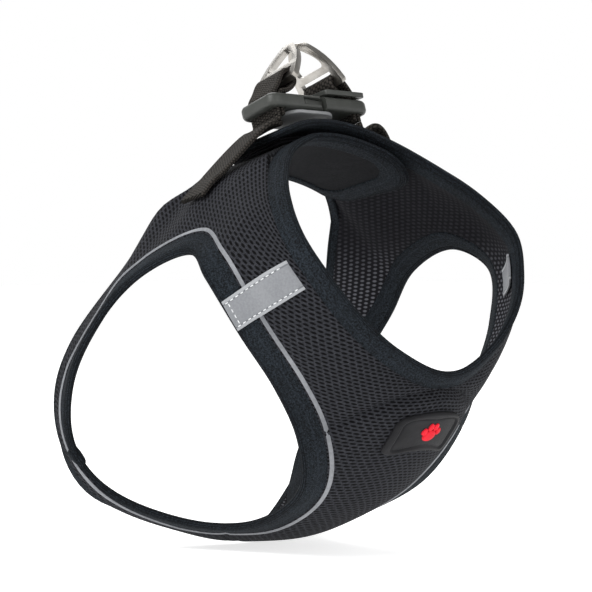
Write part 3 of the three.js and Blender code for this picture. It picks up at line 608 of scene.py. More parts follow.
def arch_place(x, distance):
    front, rear = arch_edge(arch_front, x), arch_edge(arch_rear, x)
    step = 0.5 * MM
    width = (rear - front).length
    share = distance / width

    def at(place):
        return arch_edge(arch_front, place).lerp(arch_edge(arch_rear, place), share)

    normal = (at(x + step) - at(x - step)).cross(rear - front).normalized()
    return at(x), normal, width


# A flap leaves its root level with the side and passes over or under the other one.
def flap_place(side, reach, distance):
    x = side * (FLAP_ROOT - reach)
    point, normal, width = arch_place(x, distance)
    return point + normal * (side * FLAP_STACK / 2 * flap_travel(side, x)), normal


def flap_width(side, reach):
    return arch_place(side * (FLAP_ROOT - reach), 0)[2]


def flap_side(flap, corner, inset, tip_inset, straight_steps, turn_steps):
    length = FLAP_ROOT + flap["reach"]
    radius = max(flap[corner] - min(inset, tip_inset), 3 * MM)
    straight = length - tip_inset - radius
    places = [(straight * i / straight_steps, inset) for i in range(straight_steps)]
    for i in range(turn_steps + 1):
        angle = math.pi / 2 * i / turn_steps
        places.append((straight + radius * math.sin(angle), inset + radius * (1 - math.cos(angle))))
    return places


def flap_line(flap, front_inset, rear_inset, tip_inset, straight_steps=22, turn_steps=12):
    side = flap["side"]
    front = flap_side(flap, "front", front_inset, tip_inset, straight_steps, turn_steps)
    rear = flap_side(flap, "rear", rear_inset, tip_inset, straight_steps, turn_steps)
    ahead = [flap_place(side, reach, inset) for reach, inset in front]
    behind = [flap_place(side, reach, flap_width(side, reach) - inset) for reach, inset in rear]
    return ahead, behind


def flap_rows(flap, height, inset):
    ahead, behind = flap_line(
        flap, NECK_BAND_WIDTH - inset, REAR_BINDING_WIDTH - inset, NECK_BAND_WIDTH - inset
    )
    rows = []
    for (front, front_up), (rear, rear_up) in zip(ahead, behind):
        row = []
        for k in range(PANEL_ROWS + 1):
            share = k / PANEL_ROWS
            up = front_up.lerp(rear_up, share).normalized()
            row.append(front.lerp(rear, share) + up * height)
        rows.append(row)
    return rows


def cloth_layer(name, low, high, height, thickness):
    halves = [
        grid_object("half", side_rows(side, low, high, height), closed=True, uvs=lambda i, k: (i, k))
        for side in (-1, 1)
    ]
    piece = outwards(joined(name, halves))
    flat = lay_flat(piece)
    area = area_of(piece)
    modified(piece, "SOLIDIFY", thickness=thickness, offset=0)
    return piece, flat, area


def flap_layer(name, flap, height, thickness, inset=UNDER_BAND):
    rows = flap_rows(flap, height, inset)
    span = max((row[0] - row[-1]).length for row in rows)
    middles = [row[PANEL_ROWS // 2] for row in rows]
    reach = sum((after - here).length for here, after in zip(middles, middles[1:]))
    piece = grid_object(
        name, rows, uvs=lambda i, k: (reach * i / (len(rows) - 1), span * k / PANEL_ROWS)
    )
    area = area_of(piece)
    modified(piece, "SOLIDIFY", thickness=thickness, offset=0)
    return piece, (reach, span), area


HOLE_PITCH = 2.75 * MM
ROW_PITCH = 1.55 * MM


def air_mesh(name, yarn, shade, hole):
    look = Look(name)
    along, across = look.map()
    row = across / ROW_PITCH
    whole = row - row.fraction()
    stagger = (whole * 0.5).fraction()
    column = (along / HOLE_PITCH + stagger).fraction()
    dx = (column - 0.5) * HOLE_PITCH / (1.15 * MM)
    dy = (row.fraction() - 0.5) * ROW_PITCH / (0.46 * MM)
    inside = dx * dx + dy * dy
    open_share = 1 - inside.ramp(0.35, 1.35)
    strand = ((along / (0.5 * MM) + across / (0.75 * MM)) * math.tau).sine()
    wale = ((across / (0.52 * MM) - along / (1.6 * MM)) * math.tau).sine()
    fuzz = look.noise(look.position(), 900, 2)
    cloud = look.noise(look.position(), 30, 2)
    light = (strand * 0.22 + wale * 0.22 + fuzz * 0.9 + cloud * 0.2).ramp(0.2, 1.05)
    thread = look.mix(light, shade, yarn)
    height = 1 - open_share + strand * 0.05 + wale * 0.06 + fuzz * 0.08
    # Painted shade: the holes are coloured near black for the dark seen through them.
    return look.finish(
        look.mix(open_share, thread, hole), 0.82 + fuzz * 0.12, height, 0.0006, 0.9
    )


# The last colour is the painted shade inside the mesh holes.
mesh_look = air_mesh(
    "air_mesh", colour(60, 61, 66), colour(30, 31, 35), colour(5, 5, 7)
)
side_mesh, side_flat, side_area = cloth_layer(
    "side_mesh", -UNDER_BAND, -UNDER_BAND, 0.9 * MM, MESH_THICKNESS
)
side_mesh.data.materials.append(mesh_look)
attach(side_mesh, "vest")
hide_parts("mesh_panel_right", "mesh_panel_left")

# ------------------------------------------------------------------ lining
# A thin black tricot behind the mesh, sewn in with it. Its knit gives rows of pits, with painted light from
# the mesh holes on them as light dots, strongest low down.
def lining_painted_light_dots(name):
    look = Look(name)
    along, across = look.map()
    row = across / (1.85 * MM)
    whole = row - row.fraction()
    column = (along / (2.3 * MM) + (whole * 0.5).fraction()).fraction()
    dx = (column - 0.5) * 2.3
    dy = (row.fraction() - 0.5) * 1.85
    dot = 1 - (dx * dx + dy * dy).ramp(0.12, 0.62)
    fuzz = look.noise(look.position(), 1100, 2)
    height_up = look.node("ShaderNodeSeparateXYZ", None, look.position())["Z"]
    lower = 1 - (height_up + look.noise(look.position(), 60, 1) * 0.01).ramp(0.098, 0.12)
    base = look.mix(fuzz, colour(14, 14, 17), colour(27, 27, 31))
    # Painted light: the dots are lit faintly everywhere and strongly low on the vest, for light coming
    # through the mesh holes.
    shown = look.mix(dot * (0.1 + lower * 0.75), base, colour(96, 97, 103))
    return look.finish(shown, 0.9, fuzz * 0.3 - dot * 0.7, 0.0004, 0.6)


lining_look = lining_painted_light_dots("lining_painted_light_dots")
side_lining, lining_flat, lining_area = cloth_layer(
    "side_lining", -UNDER_BAND, -UNDER_BAND, -0.65 * MM, 0.6 * MM
)
side_lining.data.materials.append(lining_look)
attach(side_lining, "vest")
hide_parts("lining_right", "lining_left")

# ------------------------------------------------------------------ back flaps
# Two flaps close over each other on the back: the left one, of mesh, on top, and the right one,
# of a plain ribbed knit. Each is one cut piece, held along its edge by the bands.
# The last colour is the painted shade inside the mesh holes.
flap_look = air_mesh(
    "flap_mesh", colour(60, 61, 66), colour(30, 31, 35), colour(5, 5, 7)
)


FLAP_RIB_PITCH = 0.9 * MM


def ribbed_knit(name):
    look = Look(name)
    along, across = look.map()
    rib = ((along * 0.78 + across * 0.62) / FLAP_RIB_PITCH * math.tau).sine()
    fuzz = look.noise(look.position(), 1100, 2)
    cloud = look.noise(look.position(), 50, 2)
    light = (rib * 0.3 + fuzz * 0.6 + cloud * 0.3).ramp(0.1, 0.9)
    base = look.mix(light, colour(12, 13, 15), colour(38, 39, 42))
    return look.finish(base, 0.9, rib * 0.5 + fuzz * 0.3, 0.0004, 0.7)


ribbed_look = ribbed_knit("ribbed_knit")
for flap, name in ((OUTER_FLAP, "outer_flap"), (INNER_FLAP, "inner_flap")):
    piece, flap_flat, flap_area = flap_layer(name, flap, 0, 1.6 * MM)
    piece.data.materials.append(flap_look if flap is OUTER_FLAP else ribbed_look)
    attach(piece, "vest")
    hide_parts("flap_outer_panel" if flap is OUTER_FLAP else "flap_inner_panel")

# ------------------------------------------------------------------ leg bands
# A padded strip of rib knit folded round the edge of each leg hole, with ribs at the fold.
BAND_THICKNESS = 3 * MM
RIB_PITCH = 0.85 * MM
RIBS = 4


def knit_band(name):
    look = Look(name)
    along, across = look.map()
    from_edge = across.size()
    ribbed = 1 - from_edge.ramp(RIBS * RIB_PITCH - 0.3 * MM, RIBS * RIB_PITCH + 0.2 * MM)
    groove = ((from_edge / RIB_PITCH * math.tau).sine().ramp(-0.2, 0.9)) * ribbed
    seam = (from_edge - 7.6 * MM).size()
    stitched = 1 - seam.ramp(0.15 * MM, 0.45 * MM)
    dash = (along / (1.3 * MM) * math.tau).sine().ramp(-0.6, 0.2)
    loop = (along / (0.95 * MM) * math.tau).sine() * (across / (0.75 * MM) * math.tau).sine()
    fuzz = look.noise(look.position(), 1500, 3, 0.75)
    speck = look.noise(look.position(), 2600, 2, 0.6)
    cloud = look.noise(look.position(), 45, 2)
    light = (loop * 0.14 + (fuzz - 0.5) * 2.4 + (speck - 0.5) * 1.6 + cloud * 0.3 + 0.3).ramp(0.0, 1.2)
    base = look.mix(light, colour(8, 9, 11), colour(44, 51, 58))
    # Painted shade: the rib grooves near the fold are darkened almost to black.
    base = look.mix(groove * 0.85, base, colour(5, 6, 9))
    base = look.mix(stitched * (0.2 + dash * 0.3), base, colour(40, 46, 53))
    height = loop * 0.3 + fuzz * 1.2 + speck * 0.4 - groove * 1.2 - stitched * (1.1 - dash)
    return look.finish(base, 0.88, height, 0.0003, 0.6)


knit_look = knit_band("knit_band")


# Round the cross-section of a band: distance from the free edge, height over the cloth's middle.
def band_section(width, thickness, ribs, rib_depth=0.2 * MM, step=0.27 * MM):
    half = thickness / 2
    fold = half * 1.15
    lip = 0.9 * MM
    count = max(int(width / step), 6)
    face = []
    for k in range(count + 1):
        distance = width * (1 - math.cos(math.pi * k / count)) / 2 if count < 10 else width * k / count
        height = half * (0.86 + 0.14 * math.sin(math.pi * distance / width))
        if distance < fold:
            height *= max(0, 1 - (1 - distance / fold) ** 2.3) ** (1 / 2.3)
        if width - distance < lip:
            height *= 0.55 + 0.45 * (1 - (1 - (width - distance) / lip) ** 2) ** 0.5
        if distance < ribs * RIB_PITCH:
            height -= rib_depth * (0.5 + 0.5 * math.sin(math.tau * distance / RIB_PITCH))
        face.append((distance, max(height, 0.02 * MM)))
    return [(d, h) for d, h in reversed(face)] + [(d, -h) for d, h in face]


def running_lengths(points, closed):
    total = [0.0]
    for here, after in zip(points, points[1:] + (points[:1] if closed else [])):
        total.append(total[-1] + (after - here).length)
    return total


# Sweeps a cross-section along frames of (edge, inward, normal); its map is metres both ways.
def swept(name, frames, sections, closed):
    rows = []
    for (edge, inward, normal), section in zip(frames, sections):
        rows.append([edge + inward * d + normal * h for d, h in section])
    longest = max(range(len(rows)), key=lambda i: sections[i][0][0])
    lengths = running_lengths([row[len(row) // 4] for row in rows], closed)
    around = running_lengths(rows[longest], True)
    middle = around[-1] / 2
    piece = grid_object(
        name, rows, closed=closed, round_rows=True, uvs=lambda i, k: (lengths[i], around[k] - middle)
    )
    if not closed:
        only(piece)
        bpy.ops.object.mode_set(mode="EDIT")
        bpy.ops.mesh.select_all(action="DESELECT")
        bpy.ops.mesh.select_mode(type="EDGE")
        bpy.ops.mesh.select_non_manifold()
        bpy.ops.mesh.fill_holes(sides=0)
        bpy.ops.object.mode_set(mode="OBJECT")
    return outwards(piece, 0.000001)


def leg_frames(side):
    frames = []
    for station in outline:
        edge, normal = cloth_place(station, 0, side)
        seam, _ = cloth_place(station, station.band, side)
        frames.append((edge, (seam - edge).normalized(), normal))
    return frames


for side, label in ((-1, "right"), (1, "left")):
    band = swept(
        "leg_band_knit_" + label, leg_frames(side),
        [band_section(LEG_BAND_WIDTH - SEAM / 2, BAND_THICKNESS, RIBS)] * len(outline), True
    )
    band.data.materials.append(knit_look)
    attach(band, "vest")
    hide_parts("leg_band_" + label)

# ------------------------------------------------------------------ reflective piping
# A grey reflective cord cover caught in the seam between each leg band and the mesh.
PIPING_RADIUS = 1.25 * MM
PIPING_LIFT = 0.9 * MM


def satin_grey(name):
    look = Look(name)
    along, across = look.map()
    twill = ((along / (0.5 * MM) + across / (0.35 * MM)) * math.tau).sine()
    fuzz = look.noise(look.position(), 700, 2)
    cloud = look.noise(look.position(), 50, 2)
    base = look.mix((cloud * 0.6 + fuzz * 0.4).ramp(0.3, 0.7), colour(112, 114, 118), colour(138, 140, 144))
    return look.finish(base, 0.42 + fuzz * 0.12, twill * 0.5 + fuzz * 0.5, 0.0001, 0.3)


piping_look = satin_grey("reflective_piping")


def round_section(radius, flatten=0.8, count=16):
    return [
        (radius * math.cos(math.tau * k / count), radius * flatten * math.sin(math.tau * k / count))
        for k in range(count)
    ]


for side, label in ((-1, "right"), (1, "left")):
    frames = []
    for station in outline:
        place, normal = cloth_place(station, station.band, side)
        inner, _ = cloth_place(station, station.band - MM, side)
        frames.append((place + normal * PIPING_LIFT, (place - inner).normalized(), normal))
    piping = swept(
        "piping_" + label, frames, [round_section(PIPING_RADIUS)] * len(frames), True
    )
    piping.data.materials.append(piping_look)
    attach(piping, "vest")
    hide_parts("leg_piping_" + label)

# ------------------------------------------------------------------ edge binding
# One long knit strip folded round the whole outline: wide and padded along the neck and round
# the flaps, and narrow along the rear. It is sewn through near its inner edge.
def edge_loop():
    loop = []

    def side_edge(stations, side):
        for station in stations:
            loop.append((
                flipped(station.edge, side), flipped(station.outer, side), flipped(station.normal, side)
            ))

    def flap_edge(flap):
        cut = [line for line in flap_line(flap, 0, 0, 0)]
        seam = [line for line in flap_line(
            flap, NECK_BAND_WIDTH, REAR_BINDING_WIDTH, NECK_BAND_WIDTH
        )]
        outer_line = cut[0][1:] + cut[1][:0:-1]
        inner_line = seam[0][1:] + seam[1][:0:-1]
        for (edge, normal), (inner, _) in zip(outer_line, inner_line):
            loop.append((edge, inner, normal))

    side_edge(reversed(neck_stations), -1)
    flap_edge(INNER_FLAP)
    side_edge(reversed(rear_stations), -1)
    side_edge(rear_stations[1:], 1)
    backwards = len(loop)
    flap_edge(OUTER_FLAP)
    loop[backwards:] = reversed(loop[backwards:])
    side_edge(neck_stations[:-1], 1)
    return loop


loop = edge_loop()
roots = [i for i, (edge, _, _) in enumerate(loop) if abs(abs(edge.x) - FLAP_ROOT) < 1e-5]
ROOT_SPAN = 7
for _ in range(30):
    eased = list(loop)
    for root in roots:
        for i in range(root - ROOT_SPAN, root + ROOT_SPAN + 1):
            before, here, after = loop[i - 1], loop[i], loop[(i + 1) % len(loop)]
            eased[i] = tuple(
                here[part].lerp((before[part] + after[part]) / 2, 0.5) for part in range(3)
            )
    loop = eased
frames = []
sections = []
for edge, inner, normal in loop:
    inward = inner - edge
    width = inward.length
    frames.append((edge, inward.normalized(), normal.normalized()))
    sections.append(band_section(NECK_BAND_WIDTH, BAND_THICKNESS, RIBS))
    scale = width / NECK_BAND_WIDTH
    sections[-1] = [(d * scale, h * (0.75 + 0.25 * scale)) for d, h in sections[-1]]
binding = swept("edge_binding", frames, sections, True)
binding.data.materials.append(knit_look)
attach(binding, "vest")
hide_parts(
    "neck_band_right", "neck_band_left", "rear_binding_right", "rear_binding_left",
    "flap_outer_band", "flap_inner_band"
)


# ------------------------------------------------------------------ reflective tapes
# A grey tape crosses each shoulder, from the leg band to the neck band, and its end shows inside.
# It is sewn down along both long edges and across its free end with pale thread.
TAB_WIDTH = 11.5 * MM
TAB_THICKNESS = 0.7 * MM
TAB_AT_HOLE = 22.0
TAB_AT_NECK = 23.6
TAB_INSIDE_LENGTH = 13 * MM


def between(place):
    low = int(place)
    share = place - low
    a, b = outline[low], outline[low + 1]
    made = Station(a.outer.lerp(b.outer, share), a.hole.lerp(b.hole, share), a.normal.lerp(b.normal, share))
    made.normal.normalize()
    made.hole_normal = a.hole_normal.lerp(b.hole_normal, share).normalized()
    for name in ("length", "band", "level", "bulge"):
        setattr(made, name, getattr(a, name) + (getattr(b, name) - getattr(a, name)) * share)
    return made


def tab_half_stations(share):
    at = round(TAB_AT_HOLE + (TAB_AT_NECK - TAB_AT_HOLE) * share)
    hole_gap = (outline[at].hole - outline[at + 1].hole).length
    outer_gap = (outline[at].outer - outline[at + 1].outer).length
    return TAB_WIDTH / 2 / (hole_gap + (outer_gap - hole_gap) * share)


# A place on the tape: share from the leg hole to the neck band, offset -1 to 1 across it.
def tab_place(side, share, offset, height):
    centre = TAB_AT_HOLE + (TAB_AT_NECK - TAB_AT_HOLE) * share
    station = between(centre + offset * tab_half_stations(min(max(share, 0), 1)))
    point, normal = cloth_place(station, MM + (station.length - MM) * share, side)
    return point + normal * height, normal


def tab_height(side, share):
    station = between(TAB_AT_HOLE + (TAB_AT_NECK - TAB_AT_HOLE) * share)
    distance = MM + (station.length - MM) * share - station.band
    over = math.exp(-((distance / (2.2 * MM)) ** 2))
    level = 2.05 * MM - 0.35 * MM * smooth(distance / (6 * MM))
    tuck = smooth((share - 0.93) / 0.09)
    return level + 0.55 * MM * over - 1.2 * MM * tuck


def thread(name):
    look = Look(name)
    fuzz = look.noise(look.position(), 1500, 2)
    base = look.mix(fuzz, colour(188, 190, 192), colour(232, 233, 234))
    return look.finish(base, 0.6, fuzz, 0.0001, 0.4)


def piece_of(name, vertices, faces):
    mesh = bpy.data.meshes.new(name)
    mesh.from_pydata(vertices, [], faces)
    piece = bpy.data.objects.new(name, mesh)
    bpy.context.collection.objects.link(piece)
    mesh.polygons.foreach_set("use_smooth", [True] * len(mesh.polygons))
    mesh.update()
    return piece


# A row of machine stitches along (point, normal) places: each a short thread that dips at its ends.
def stitches(name, rows, length, pitch, radius):
    vertices = []
    faces = []
    sides = 6
    for places in rows:
        lengths = running_lengths([point for point, _ in places], False)
        count = int((lengths[-1] - length) / pitch)

        def at(travel):
            low = max(i for i, value in enumerate(lengths[:-1]) if value <= travel + 1e-12)
            share = (travel - lengths[low]) / (lengths[low + 1] - lengths[low])
            (a, up_a), (b, up_b) = places[low], places[low + 1]
            return a.lerp(b, share), up_a.lerp(up_b, share).normalized()

        for number in range(count + 1):
            first = len(vertices)
            start = number * pitch
            for ring, (share, size, sink) in enumerate(
                ((0, 0.35, 1.0), (0.15, 0.9, 0.2), (0.5, 1.0, -0.1), (0.85, 0.9, 0.2), (1, 0.35, 1.0))
            ):
                point, up = at(start + share * length)
                ahead = (at(start + length)[0] - at(start)[0]).normalized()
                aside = ahead.cross(up).normalized()
                for k in range(sides):
                    angle = math.tau * k / sides
                    vertices.append(
                        point + up * (radius * (size * math.sin(angle) - sink))
                        + aside * (radius * size * math.cos(angle))
                    )
            for ring in range(4):
                for k in range(sides):
                    a = first + ring * sides + k
                    b = first + ring * sides + (k + 1) % sides
                    faces.append((a, b, b + sides, a + sides))
            faces.append([first + k for k in range(sides)][::-1])
            faces.append([first + 4 * sides + k for k in range(sides)])
    return outwards(piece_of(name, vertices, faces), 1e-7)


def tape_look(name):
    look = Look(name)
    along, across = look.map()
    grain = look.noise(look.position(), 1400, 2)
    cloud = look.noise(look.position(), 70, 2)
    edge = (across - TAB_WIDTH / 2).size()
    hem = edge.ramp(4.0 * MM, 4.3 * MM)
    base = look.mix((cloud * 0.5 + grain * 0.5).ramp(0.3, 0.7), colour(118, 120, 124), colour(133, 135, 138))
    base = look.mix(hem, base, colour(150, 152, 155))
    line = (edge - 4.4 * MM).size()
    hole = (1 - line.ramp(0.12 * MM, 0.42 * MM)) * 0.8
    base = look.mix(hole, base, colour(88, 90, 94))
    weave = (along / (0.35 * MM) * math.tau).sine() * (across / (0.35 * MM) * math.tau).sine()
    return look.finish(base, 0.4 + grain * 0.15, grain * 0.4 + weave * 0.3 - hole, 0.0001, 0.5)


reflective_tape = tape_look("reflective_tape")
pale_thread = thread("pale_thread")
TAB_ROWS = 40
TAB_COLUMNS = 16


def tape(name, side, first, last, height_at):
    rows = []
    shares = [first + (last - first) * i / TAB_ROWS for i in range(TAB_ROWS + 1)]
    for share in shares:
        rows.append([
            tab_place(side, share, 2 * k / TAB_COLUMNS - 1, height_at(share))[0]
            for k in range(TAB_COLUMNS + 1)
        ])
    lengths = running_lengths([row[TAB_COLUMNS // 2] for row in rows], False)
    piece = grid_object(name, rows, uvs=lambda i, k: (lengths[i], TAB_WIDTH * k / TAB_COLUMNS))
    outwards(piece, 1e-7)
    modified(piece, "SOLIDIFY", thickness=TAB_THICKNESS, offset=0)
    modified(piece, "BEVEL", width=0.15 * MM, segments=2, limit_method="ANGLE", angle_limit=1.0)
    piece.data.materials.append(reflective_tape)
    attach(piece, "vest")
    edges = [[row[k] for row in rows] for k in range(TAB_COLUMNS + 1)]
    longest = max(running_lengths(edge, False)[-1] for edge in edges)
    widest = max(running_lengths(row, False)[-1] for row in rows)
    return piece


for side, label in ((-1, "right"), (1, "left")):
    tab = tape("tab_" + label, side, 0, 1.04, lambda share: tab_height(side, share))
    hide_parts("reflective_tab_" + label)
    length = between(TAB_AT_NECK).length
    inside = tape(
        "tape_end_" + label, side, 1 - TAB_INSIDE_LENGTH / length, 1.03, lambda share: -2.0 * MM
    )
    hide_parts("reflective_tape_inside_" + label)
    top = TAB_THICKNESS / 2
    rows = []
    for offset in (-0.77, 0.77):
        rows.append([
            tab_place(side, share / 40, offset, tab_height(side, share / 40) + top) for share in range(1, 38)
        ])
    rows.append([tab_place(side, 0.07, k / 10 - 0.7, tab_height(side, 0.07) + top) for k in range(15)])
    sewing = stitches("tab_stitches_" + label, rows, 1.5 * MM, 2.2 * MM, 0.2 * MM)
    sewing.data.materials.append(pale_thread)
    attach(sewing, "vest")

# ------------------------------------------------------------------ lapped ends of the leg bands
# Each leg band's ends overlap low on the rear of its hole and are sewn through each other.
JOIN_AT = 124
JOIN_SPAN = 8
for side, label in ((-1, "right"), (1, "left")):
    frames = []
    sections = []
    for i in range(2 * JOIN_SPAN + 1):
        station = between(JOIN_AT + 1.3 * (i / JOIN_SPAN - 1))
        edge, normal = cloth_place(station, 0, side)
        seam, _ = cloth_place(station, station.band, side)
        frames.append((edge, (seam - edge).normalized(), normal))
        full = (1 - (abs(i - JOIN_SPAN) / (JOIN_SPAN + 0.2)) ** 2) ** 0.5
        lip = 1.5 * MM * full * (1.2 - 0.4 * i / JOIN_SPAN)
        section = band_section(LEG_BAND_WIDTH * 0.62, BAND_THICKNESS * (0.9 + 0.5 * full), 0)
        sections.append([(d - lip, h) for d, h in section])
    lap = swept("band_lap_" + label, frames, sections, False)
    lap.data.materials.append(knit_look)
    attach(lap, "vest")
    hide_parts("leg_band_join_" + label)

# ------------------------------------------------------------------ frame of the back hardware
# The straps, buckle and rings sit on the crown of the back, pitched with its slope.
BACK_ROLL = math.radians(3)
BACK_SHARE = 0.34
FLAP_TOP = 1.2 * MM
slope = CROWN_REAR - CROWN_FRONT
back = (
    Matrix.Translation(CROWN_FRONT.lerp(CROWN_REAR, BACK_SHARE) + Vector((0, 0, FLAP_TOP)))
    @ Matrix.Rotation(math.atan2(slope.z, slope.y), 4, "X")
    @ Matrix.Rotation(BACK_ROLL, 4, "Y")
)


def on_back(x, y, z):
    return back @ (Vector((x, y, z)) * MM)


back_across = (on_back(0, 1, 0) - on_back(0, 0, 0)).normalized()

# ------------------------------------------------------------------ webbing
# Woven polyester webbing. One length is sewn flat on each side of the vest, and a second one
# goes up through the buckle, round the foot bar of the ring and down again.
WEBBING_WIDTH = 15 * MM
WEBBING_THICKNESS = 1.6 * MM
BUCKLE_RISE = 10.8
BUCKLE_HALF = 2.8
BAR_RISE = 20.593
RING_OFFSETS = {"right": 11.6, "left": 13}
TURN = 2.869
OUTER_LAYER = 20.6
INNER_LAYER = 18.4
LOOP_FOOT = 5.6
STRAP_STATION = 173.6
STRAP_SEWN_SHARES = (0.55, 0.67, 0.78)
STRAP_CROSSING = 0.78
STRAP_ABOVE = 8.9 * MM


def webbing(name):
    look = Look(name)
    along, across = look.map()
    row = along / (1.15 * MM)
    column = across / (1.25 * MM)
    whole = column - column.fraction()
    shifted = (row + whole * 0.5).fraction()
    ridge = 1 - ((shifted - 0.5).size() * 2) ** 2
    rib = 1 - ((column.fraction() - 0.5).size() * 2) ** 4
    fibre = (across / (0.16 * MM) * math.tau).sine()
    fuzz = look.noise(look.position(), 1200, 3)
    cloud = look.noise(look.position(), 60, 2)
    # Painted highlight and shade: the weave ridges are lighter and the dips darker, mixed with a random tone
    # from noise.
    ridge_highlight_and_tone = (ridge * rib * 0.7 + fuzz * 0.5 + cloud * 0.2 + fibre * 0.05).ramp(0.25, 1.25)
    base = look.mix(ridge_highlight_and_tone, colour(8, 8, 7), colour(66, 62, 58))
    return look.finish(base, 0.78, ridge * rib + fuzz * 0.25 + fibre * 0.06, 0.0005, 0.8)


webbing_look = webbing("webbing")


def ribbon_section(width, thickness):
    half = width / 2
    rim = thickness / 2
    count = 20
    top = []
    for k in range(count + 1):
        across = half * math.cos(math.pi * k / count)
        edge = (half - abs(across)) / rim
        height = rim * (min(edge, 1) * (2 - min(edge, 1))) ** 0.5
        swell = 0.12 * MM * math.exp(-((half - abs(across) - 1.1 * MM) / (0.7 * MM)) ** 2)
        top.append((across, height + swell))
    return top[:-1] + [(a, -h) for a, h in reversed(top)][:-1]


def ribbon(name, points, steps, width=WEBBING_WIDTH, thickness=WEBBING_THICKNESS):
    line = Line(points)
    frames = []
    for i in range(steps + 1):
        centre, tangent = line.at(i / steps)
        across = (back_across - tangent * back_across.dot(tangent)).normalized()
        frames.append((centre, across, tangent.cross(across)))
    section = ribbon_section(width, thickness)
    piece = swept(name, frames, [section] * len(frames), False)
    piece.data.materials.append(webbing_look)
    return piece, frames


def strap_root(side, share, height):
    station = between(STRAP_STATION)
    point, normal = cloth_place(station, station.length * share, side)
    return point + normal * height


for side, label in ((-1, "right"), (1, "left")):
    top = BUCKLE_RISE + BUCKLE_HALF
    bar = RING_OFFSETS[label]
    path = [
        (OUTER_LAYER, LOOP_FOOT), (OUTER_LAYER, BUCKLE_RISE), (OUTER_LAYER, top + 0.4),
        (bar + 2 * TURN, BAR_RISE - 0.8 * TURN), (bar + 0.8 * TURN, BAR_RISE + 0.7 * TURN),
        (bar, BAR_RISE + 1.03 * TURN), (bar - 0.97 * TURN, BAR_RISE + 0.3 * TURN),
        (bar - 0.9 * TURN, BAR_RISE - 0.6 * TURN), (bar + 0.4 * TURN, BAR_RISE - 1.6 * TURN),
        (INNER_LAYER - 0.6, top + 0.9), (INNER_LAYER, BUCKLE_RISE), (INNER_LAYER, LOOP_FOOT),
    ]
    loop_strap, _ = ribbon("ring_strap_" + label, [on_back(side * x, 0, z) for x, z in path], 110)
    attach(loop_strap, "plug" if side > 0 else "vest")
    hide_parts("strap_loop_" + label)
    lift = 1.5 * MM + 0.6 * MM + WEBBING_THICKNESS / 2 + 0.5 * MM
    roots = [strap_root(side, share, lift) for share in STRAP_SEWN_SHARES]
    foot = on_back(side * OUTER_LAYER, 0, LOOP_FOOT - 0.4)
    below = on_back(side * (OUTER_LAYER + 1.2), 0, LOOP_FOOT - 3.5)
    over = side * STRAP_CROSSING * arch_front[1].x
    flap_width = arch_place(over, 0)[2]
    arch, upward, _ = arch_place(over, flap_width * BACK_SHARE)
    bend = arch + upward * STRAP_ABOVE
    side_strap, _ = ribbon("side_strap_" + label, [*roots, bend, below, foot], 90)
    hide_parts("strap_lower_" + label)
    if side > 0:
        tuple(roots[2])
        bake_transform(side_strap)
    else:
        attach(side_strap, "vest")

# ------------------------------------------------------------------ side-release buckle
# Moulded acetal: a socket with open side windows, a plug with two springy prongs, a curved thumb
# plate under both, and a flat slider that holds the webbing above the plug.
def moulded(name, dark, light):
    look = Look(name)
    grain = look.noise(look.position(), 1600, 2)
    cloud = look.noise(look.position(), 120, 3)
    wear = look.noise(look.position(), 400, 3)
    base = look.mix((cloud * 0.7 + grain * 0.3).ramp(0.3, 0.75), dark, light)
    return look.finish(
        base, 0.34 + cloud * 0.16 + grain * 0.06, grain * 0.6 + wear * 0.4, 0.00005, 0.5,
        Specular_IOR_Level=0.4
    )


buckle_plastic = moulded("buckle_plastic", colour(44, 46, 43), colour(60, 62, 59))
thumb_plastic = moulded("thumb_plastic", colour(120, 122, 124), colour(140, 141, 143))


# A rounded, finished copy of a hard piece, with its moulding radii.
def rounded(node, name, body, radius, look, segments=3):
    piece = bpy.data.objects.new(name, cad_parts[node].data.copy())
    piece.data.name = name
    bpy.context.collection.objects.link(piece)
    piece.data.materials.clear()
    only(piece)
    if piece.data.has_custom_normals:
        bpy.ops.mesh.customdata_custom_splitnormals_clear()
    bpy.ops.object.mode_set(mode="EDIT")
    bpy.ops.mesh.select_all(action="SELECT")
    bpy.ops.mesh.remove_doubles(threshold=2e-6)
    bpy.ops.mesh.dissolve_limited(angle_limit=math.radians(1))
    bpy.ops.object.mode_set(mode="OBJECT")
    modified(
        piece, "BEVEL", width=radius, segments=segments, limit_method="ANGLE",
        angle_limit=math.radians(32), harden_normals=False
    )
    only(piece)
    bpy.ops.object.shade_smooth_by_angle(angle=math.radians(40))
    piece.data.materials.append(look)
    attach(piece, body)
    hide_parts(node)
    return piece




BUCKLE_WIDTH = 19.05 * MM
BUCKLE_END = 25.2
BUCKLE_CORNER = 4 * MM
BUCKLE_SOFTNESS = 2.1 * MM


# Rounds the outer end and the long sides of a buckle half like the inside of its mould.
def softened(piece, start, end):
    bpy.ops.mesh.primitive_plane_add(size=1)
    block = bpy.context.object
    block.scale = ((end - start) * MM, BUCKLE_WIDTH, 1)
    only(block)
    bpy.ops.object.transform_apply(location=False, rotation=False, scale=True)
    modified(block, "BEVEL", affect="VERTICES", width=BUCKLE_CORNER, segments=10, limit_method="NONE")
    modified(block, "SOLIDIFY", thickness=(2 * BUCKLE_HALF + 0.02) * MM, offset=0)
    modified(
        block, "BEVEL", width=BUCKLE_SOFTNESS, segments=6, limit_method="ANGLE",
        angle_limit=math.radians(60)
    )
    middle = on_back((start + end) / 2, 0, BUCKLE_RISE)
    block.data.transform(Matrix.Translation(middle) @ back.to_3x3().to_4x4())
    modified(piece, "BOOLEAN", operation="INTERSECT", object=block, solver="EXACT")
    bpy.data.objects.remove(block)
    only(piece)
    bpy.ops.object.shade_smooth_by_angle(angle=math.radians(40))


